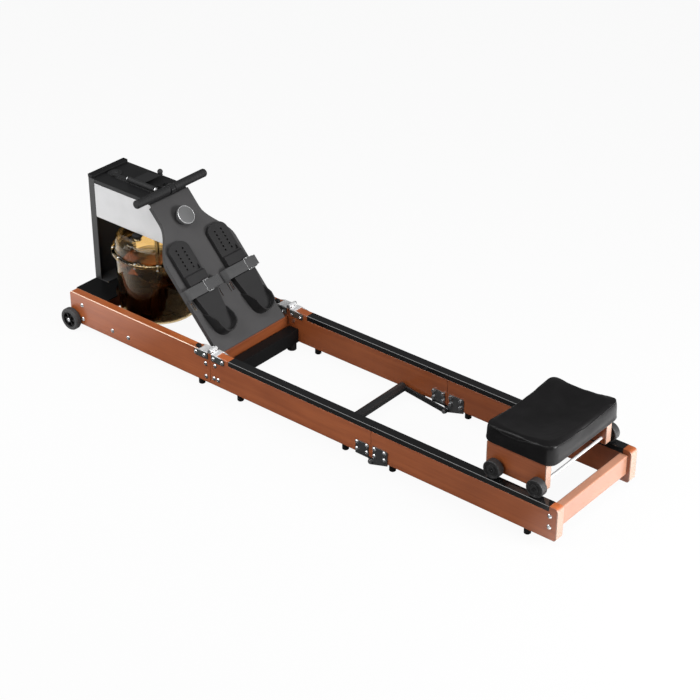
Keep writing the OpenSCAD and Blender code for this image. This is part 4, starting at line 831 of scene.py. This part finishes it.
class ROWER_OT_straps(Operator):
    """Lays the woven foot straps over the foot plates, each with its free end"""
    bl_idname = "rower.straps"
    bl_label = "Foot straps"

    # Where the straps cross the board, and their height over it on the foot plates
    u, top = 0.216, 0.0238
    # v and w of a strap's bends, from its inner slot over the plate to its outer slot
    run = ((0.0128, -0.0078), (0.0128, 0.0045), (0.0275, top), (0.154, top), (0.1642, 0.013),
           (0.1642, -0.0095))
    # Each side's direction, its tail's start and how far the tail runs
    sides = {"left": (-1, -0.072, 0.056), "right": (1, 0.124, 0.040)}

    def execute(self, context):
        sizes = context.scene.rower_webbing
        for name, (side, start, length) in self.sides.items():
            self.add_strap(f"{name}_strap", [(side * v, w) for v, w in self.run],
                           sizes.strap_width, sizes.strap_thickness, ["foot_straps"])
            # The free end is doubled back over the buckle's bar
            tail = ((-0.010, 0.0052), (0.004, 0.0066), (0.024, 0.0046), (length, 0.0032))
            self.add_strap(f"{name}_strap_tail", [(start + v, self.top + w) for v, w in tail],
                           sizes.strap_width * 0.90, sizes.strap_thickness * 0.8)
        return {"FINISHED"}

    def add_strap(self, name, bends, width, thickness, nodes=()):
        path = rounded_path([on_board(self.u, v, w) for v, w in bends])
        strap = ribbon(name, path, UP_BOARD, width, thickness)
        finish_piece(strap, "front_section", "webbing", nodes)


class ROWER_OT_belt(Operator):
    """Draws the pull belt from the guide roller to the handle, and the wound part on the drum"""
    bl_idname = "rower.belt"
    bl_label = "Pull belt"

    def execute(self, context):
        sizes = context.scene.rower_webbing
        (front, _, bottom), (rear, _, top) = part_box("belt")
        z = (bottom + top) / 2
        count = 24
        path = [Vector((front + (rear - front) * i / count, 0, z)) for i in range(count + 1)]
        run = ribbon("pull_belt", path, (0, 1, 0), sizes.belt_width, sizes.belt_thickness)
        run.data.materials.append(MATERIALS["belt"])
        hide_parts("belt")
        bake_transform(run)
        lead = copy_of("belt_lead", "belt_lead_webbing")
        modify(lead, "SUBSURF", subdivision_type="SIMPLE", levels=2, render_levels=2)
        smooth(lead, 50)
        finish_piece(lead, "front_section", "belt", ["belt_lead"])
        coil = copy_of("belt_coil", "belt_coil_webbing")
        bevelled(coil, 0.0008, 2)
        smooth(coil, 40)
        finish_piece(coil, "drum", "belt", ["belt_coil"])
        return {"FINISHED"}


class ROWER_OT_monitor_rim(Operator):
    """Adds the bright rim and the lens of the round monitor"""
    bl_idname = "rower.monitor_rim"
    bl_label = "Monitor rim"

    # The monitor's place up the board, its rim and its lens, with their heights over the board
    u = BOARD_LENGTH - 0.084
    rim_reach, rim_w = 0.0312, 0.0268
    lens_radius, lens_depth, lens_w = 0.0290, 0.0014, 0.0274

    def execute(self, context):
        turn = OFF_BOARD.to_track_quat("Z", "Y").to_euler()
        clear_selection()
        bpy.ops.mesh.primitive_torus_add(major_radius=self.rim_reach, major_segments=96,
                                         minor_radius=context.scene.rower_trim.rim_radius,
                                         minor_segments=14, rotation=turn,
                                         location=on_board(self.u, 0.0, self.rim_w))
        rim = start_piece("monitor_rim")
        settle(rim)
        smooth(rim, 60)
        finish_piece(rim, "front_section", "chrome")
        clear_selection()
        bpy.ops.mesh.primitive_cylinder_add(vertices=72, radius=self.lens_radius,
                                            depth=self.lens_depth, rotation=turn,
                                            location=on_board(self.u, 0.0, self.lens_w))
        face = start_piece("monitor_lens")
        settle(face)
        bevelled(face, 0.0005)
        smooth(face)
        finish_piece(face, "front_section", "monitor")
        return {"FINISHED"}


class ROWER_OT_holder_caps(Operator):
    """Adds the bright domed caps at both ends of the tablet holder's pin"""
    bl_idname = "rower.holder_caps"
    bl_label = "Holder caps"

    pin_y = -0.030
    # Shares of a cap's depth: its middle's place, its dome's rise and its edge; and the share of
    # its radius that the dome is inset by
    middle, rise, edge, inset = 0.48, 0.18, 0.22, 0.45

    def execute(self, context):
        sizes = context.scene.rower_trim
        front, rear = span("tablet_rest")
        z = span("tablet_base", UP)[1] - sizes.barrel_radius
        self.add_cap("front", -1, front - sizes.holder_ear, z, sizes.cap_radius, sizes.cap_depth)
        self.add_cap("rear", 1, rear + sizes.holder_ear, z, sizes.cap_radius, sizes.cap_depth)
        return {"FINISHED"}

    def add_cap(self, name, side, x, z, radius, depth):
        clear_selection()
        bpy.ops.mesh.primitive_cylinder_add(vertices=48, radius=radius, depth=depth,
                                            location=(x + side * depth * self.middle, self.pin_y, z),
                                            rotation=(0, math.pi / 2, 0))
        cap = start_piece(f"holder_cap_{name}")
        settle(cap)
        bpy.ops.object.mode_set(mode="EDIT")
        bpy.ops.mesh.select_all(action="DESELECT")
        bpy.ops.object.mode_set(mode="OBJECT")
        for face in cap.data.polygons:
            face.select = face.normal.x * side > 0.9
        bpy.ops.object.mode_set(mode="EDIT")
        bpy.ops.mesh.inset(thickness=radius * self.inset)
        bpy.ops.transform.translate(value=(side * depth * self.rise, 0, 0))
        bpy.ops.object.mode_set(mode="OBJECT")
        bevelled(cap, depth * self.edge, 4)
        smooth(cap, 50)
        finish_piece(cap, "front_section", "chrome")


class ROWER_OT_hinge_blocks(Operator):
    """Adds the rubber blocks in front of the front hinges"""
    bl_idname = "rower.hinge_blocks"
    bl_label = "Hinge blocks"

    # The near block is at its rail's outer edge, as in the photograph. The photograph shows no far
    # block, so that one is a guess, at its rail's inner edge.
    x = -0.3955
    rows = {"near": -0.2005, "far": 0.1860}

    def execute(self, context):
        size = context.scene.rower_trim.block_size
        for name, y in self.rows.items():
            clear_selection()
            bpy.ops.mesh.primitive_cube_add(size=1.0, location=(self.x, y, RAIL_TOP + size[2] / 2))
            block = start_piece(f"hinge_block_{name}")
            block.scale = size
            settle(block)
            bevelled(block, 0.0018)
            smooth(block)
            finish_piece(block, "front_section", "rubber")
        return {"FINISHED"}


class ROWER_OT_water(Operator):
    """Fills the tank with water up to its level"""
    bl_idname = "rower.water"
    bl_label = "Tank water"

    # The water's radius, how much its top widens, and the tank's floor under it
    radius, flare, floor = 0.1335, 0.004, 0.0045

    def execute(self, context):
        level = context.scene.rower_trim.water_level
        low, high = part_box("tank_lower")
        x = (low[0] + high[0]) / 2
        foot = low[2] + self.floor
        clear_selection()
        bpy.ops.mesh.primitive_cylinder_add(vertices=96, radius=self.radius, depth=level - foot,
                                            location=(x, 0.0, (level + foot) / 2))
        water = start_piece("tank_water")
        settle(water)
        for vertex in water.data.vertices:
            if vertex.co.z > level - 0.001:
                vertex.co += Vector((vertex.co.x - x, vertex.co.y, 0)).normalized() * self.flare
        bevelled(water, 0.020, 6)
        smooth(water, 40)
        finish_piece(water, "front_section", "water")
        return {"FINISHED"}


class ROWER_OT_stage(Operator):
    """Sets the floor, the lights, the world and the camera"""
    bl_idname = "rower.stage"
    bl_label = "Stage"

    # Each light's name, place, target, power setting, width and height
    lights = (
        ("seat_end", (3.4, 0.5, 1.4), (0.4, 0, 0.1), "end_power", 1.4, 1.2),
        ("strip", (-1.55, -1.62, 2.2), (-1.55, 0, 0.1), "strip_power", 3.3, 1.3),
        ("front", (1.0, -3.6, 2.2), (0.2, 0, 0.1), "front_power", 2.2, 1.2),
        ("tank_side", (-2.3, -1.7, 0.9), (-0.8, -0.1, 0.15), "side_power", 0.9, 0.9),
        ("overhead", (1.5, 0.2, 3.2), (0.2, 0, 0.1), "top_power", 1.8, 1.2),
    )
    # What glossy pieces see of the floor, from one end of the card to the other: it is dark under
    # the machine and pale beyond both ends
    card_half, dark, pale = 1.3, (0.06,) * 3, (0.95,) * 3
    cards = ((0.10, pale), (0.24, dark), (0.83, dark), (0.90, pale))
    floor_tone = (0.42, 0.42, 0.42, 1)
    # How much of the floor's own white the camera sees; the rest takes the machine's shadow
    glow_share = 0.94

    def execute(self, context):
        sizes = context.scene.rower_stage
        self.add_floor()
        self.add_world(context.scene, sizes.ambient)
        for name, place, target, power, width, height in self.lights:
            self.add_light(name, place, target, getattr(sizes, power), width, height)
        self.add_camera(context.scene, sizes)
        context.scene.view_settings.view_transform = "Standard"
        return {"FINISHED"}

    def seen(self, tree, path):
        """1 for rays from the camera and for those that come through the clear tank."""
        return calc(tree, "MAXIMUM", path.outputs["Is Camera Ray"],
                    path.outputs["Is Transmission Ray"])

    def add_floor(self):
        clear_selection()
        bpy.ops.mesh.primitive_plane_add(size=30.0, location=(0, 0, -0.0005))
        floor = start_piece("floor")
        settle(floor)
        mat, tree, shader = new_material("pale_floor")
        path = add_node(tree, "ShaderNodeLightPath")
        along = axis_of(tree, object_coords(tree), "X")
        place = spread(tree, along, 0.0, 1.0, -self.card_half, self.card_half)
        card = ramp(tree, place, self.cards)
        tone = mix_tones(tree, path.outputs["Is Glossy Ray"], self.floor_tone, card)
        fill(tree, shader, {"Base Color": tone, "Roughness": 0.9})
        glow = add_node(tree, "ShaderNodeEmission", {"Color": (1, 1, 1, 1), "Strength": 1.0})
        mix = add_node(tree, "ShaderNodeMixShader")
        share = calc(tree, "MULTIPLY", self.seen(tree, path), self.glow_share)
        for source, entry in zip((share, shader.outputs[0], glow.outputs[0]), mix.inputs):
            join(tree, source, entry)
        join(tree, mix.outputs[0], tree.nodes["Material Output"].inputs["Surface"])
        floor.data.materials.append(mat)

    def add_world(self, scene, ambient):
        world = bpy.data.worlds.new("studio")
        scene.world = world
        world.use_nodes = True
        tree = world.node_tree
        path = add_node(tree, "ShaderNodeLightPath")
        fill(tree, tree.nodes["Background"], {
            "Color": (1, 1, 1, 1),
            "Strength": spread(tree, self.seen(tree, path), ambient, 1.0),
        })

    def add_light(self, name, place, target, power, width, height):
        data = bpy.data.lights.new(name, "AREA")
        data.shape = "RECTANGLE"
        data.size, data.size_y = width, height
        data.energy = power
        light = bpy.data.objects.new(name, data)
        bpy.context.collection.objects.link(light)
        light.location = place
        aim = Vector(target) - Vector(place)
        # A light that aims straight across keeps its width along the machine
        if abs(aim.x) < 0.001:
            light.rotation_euler = (math.atan2(aim.y, -aim.z), 0, 0)
        else:
            light.rotation_euler = aim.to_track_quat("-Z", "Y").to_euler()

    def add_camera(self, scene, sizes):
        data = bpy.data.cameras.new("camera")
        data.sensor_width = 36.0
        data.lens = sizes.lens
        camera = bpy.data.objects.new("camera", data)
        bpy.context.collection.objects.link(camera)
        camera.location = sizes.camera_at
        camera.rotation_euler = (math.pi / 2 - sizes.pitch, 0, sizes.yaw)
        scene.camera = camera


class ROWER_PT_pieces(Panel):
    """Lists the pieces in the sidebar"""
    bl_label = "Rower"
    bl_idname = "ROWER_PT_pieces"
    bl_space_type = "VIEW_3D"
    bl_region_type = "UI"
    bl_category = "Rower"

    def draw(self, context):
        for operator in OPERATORS:
            self.layout.operator(operator.bl_idname)
        for group in GROUPS:
            settings = getattr(context.scene, group)
            for key in settings.__annotations__:
                self.layout.prop(settings, key)


OPERATORS = (ROWER_OT_stage, ROWER_OT_finishes, ROWER_OT_cushion, ROWER_OT_straps, ROWER_OT_belt,
             ROWER_OT_monitor_rim, ROWER_OT_holder_caps, ROWER_OT_hinge_blocks, ROWER_OT_water)
GROUPS = {
    "rower_finish": FinishSettings,
    "rower_cushion": CushionSettings,
    "rower_webbing": WebbingSettings,
    "rower_trim": TrimSettings,
    "rower_stage": StageSettings,
}


def register():
    for group in GROUPS.values():
        bpy.utils.register_class(group)
    for operator in OPERATORS:
        bpy.utils.register_class(operator)
    bpy.utils.register_class(ROWER_PT_pieces)
    for name, group in GROUPS.items():
        setattr(bpy.types.Scene, name, PointerProperty(type=group))


def unregister():
    for name in GROUPS:
        delattr(bpy.types.Scene, name)
    bpy.utils.unregister_class(ROWER_PT_pieces)
    for operator in reversed(OPERATORS):
        bpy.utils.unregister_class(operator)
    for group in GROUPS.values():
        bpy.utils.unregister_class(group)


def main():
    register()
    bpy.ops.rower.stage()
    bpy.ops.rower.finishes()
    bpy.ops.rower.cushion()
    bpy.ops.rower.straps()
    bpy.ops.rower.belt()
    bpy.ops.rower.monitor_rim()
    bpy.ops.rower.holder_caps()
    bpy.ops.rower.hinge_blocks()
    bpy.ops.rower.water()


if __name__ == "__main__":
    main()
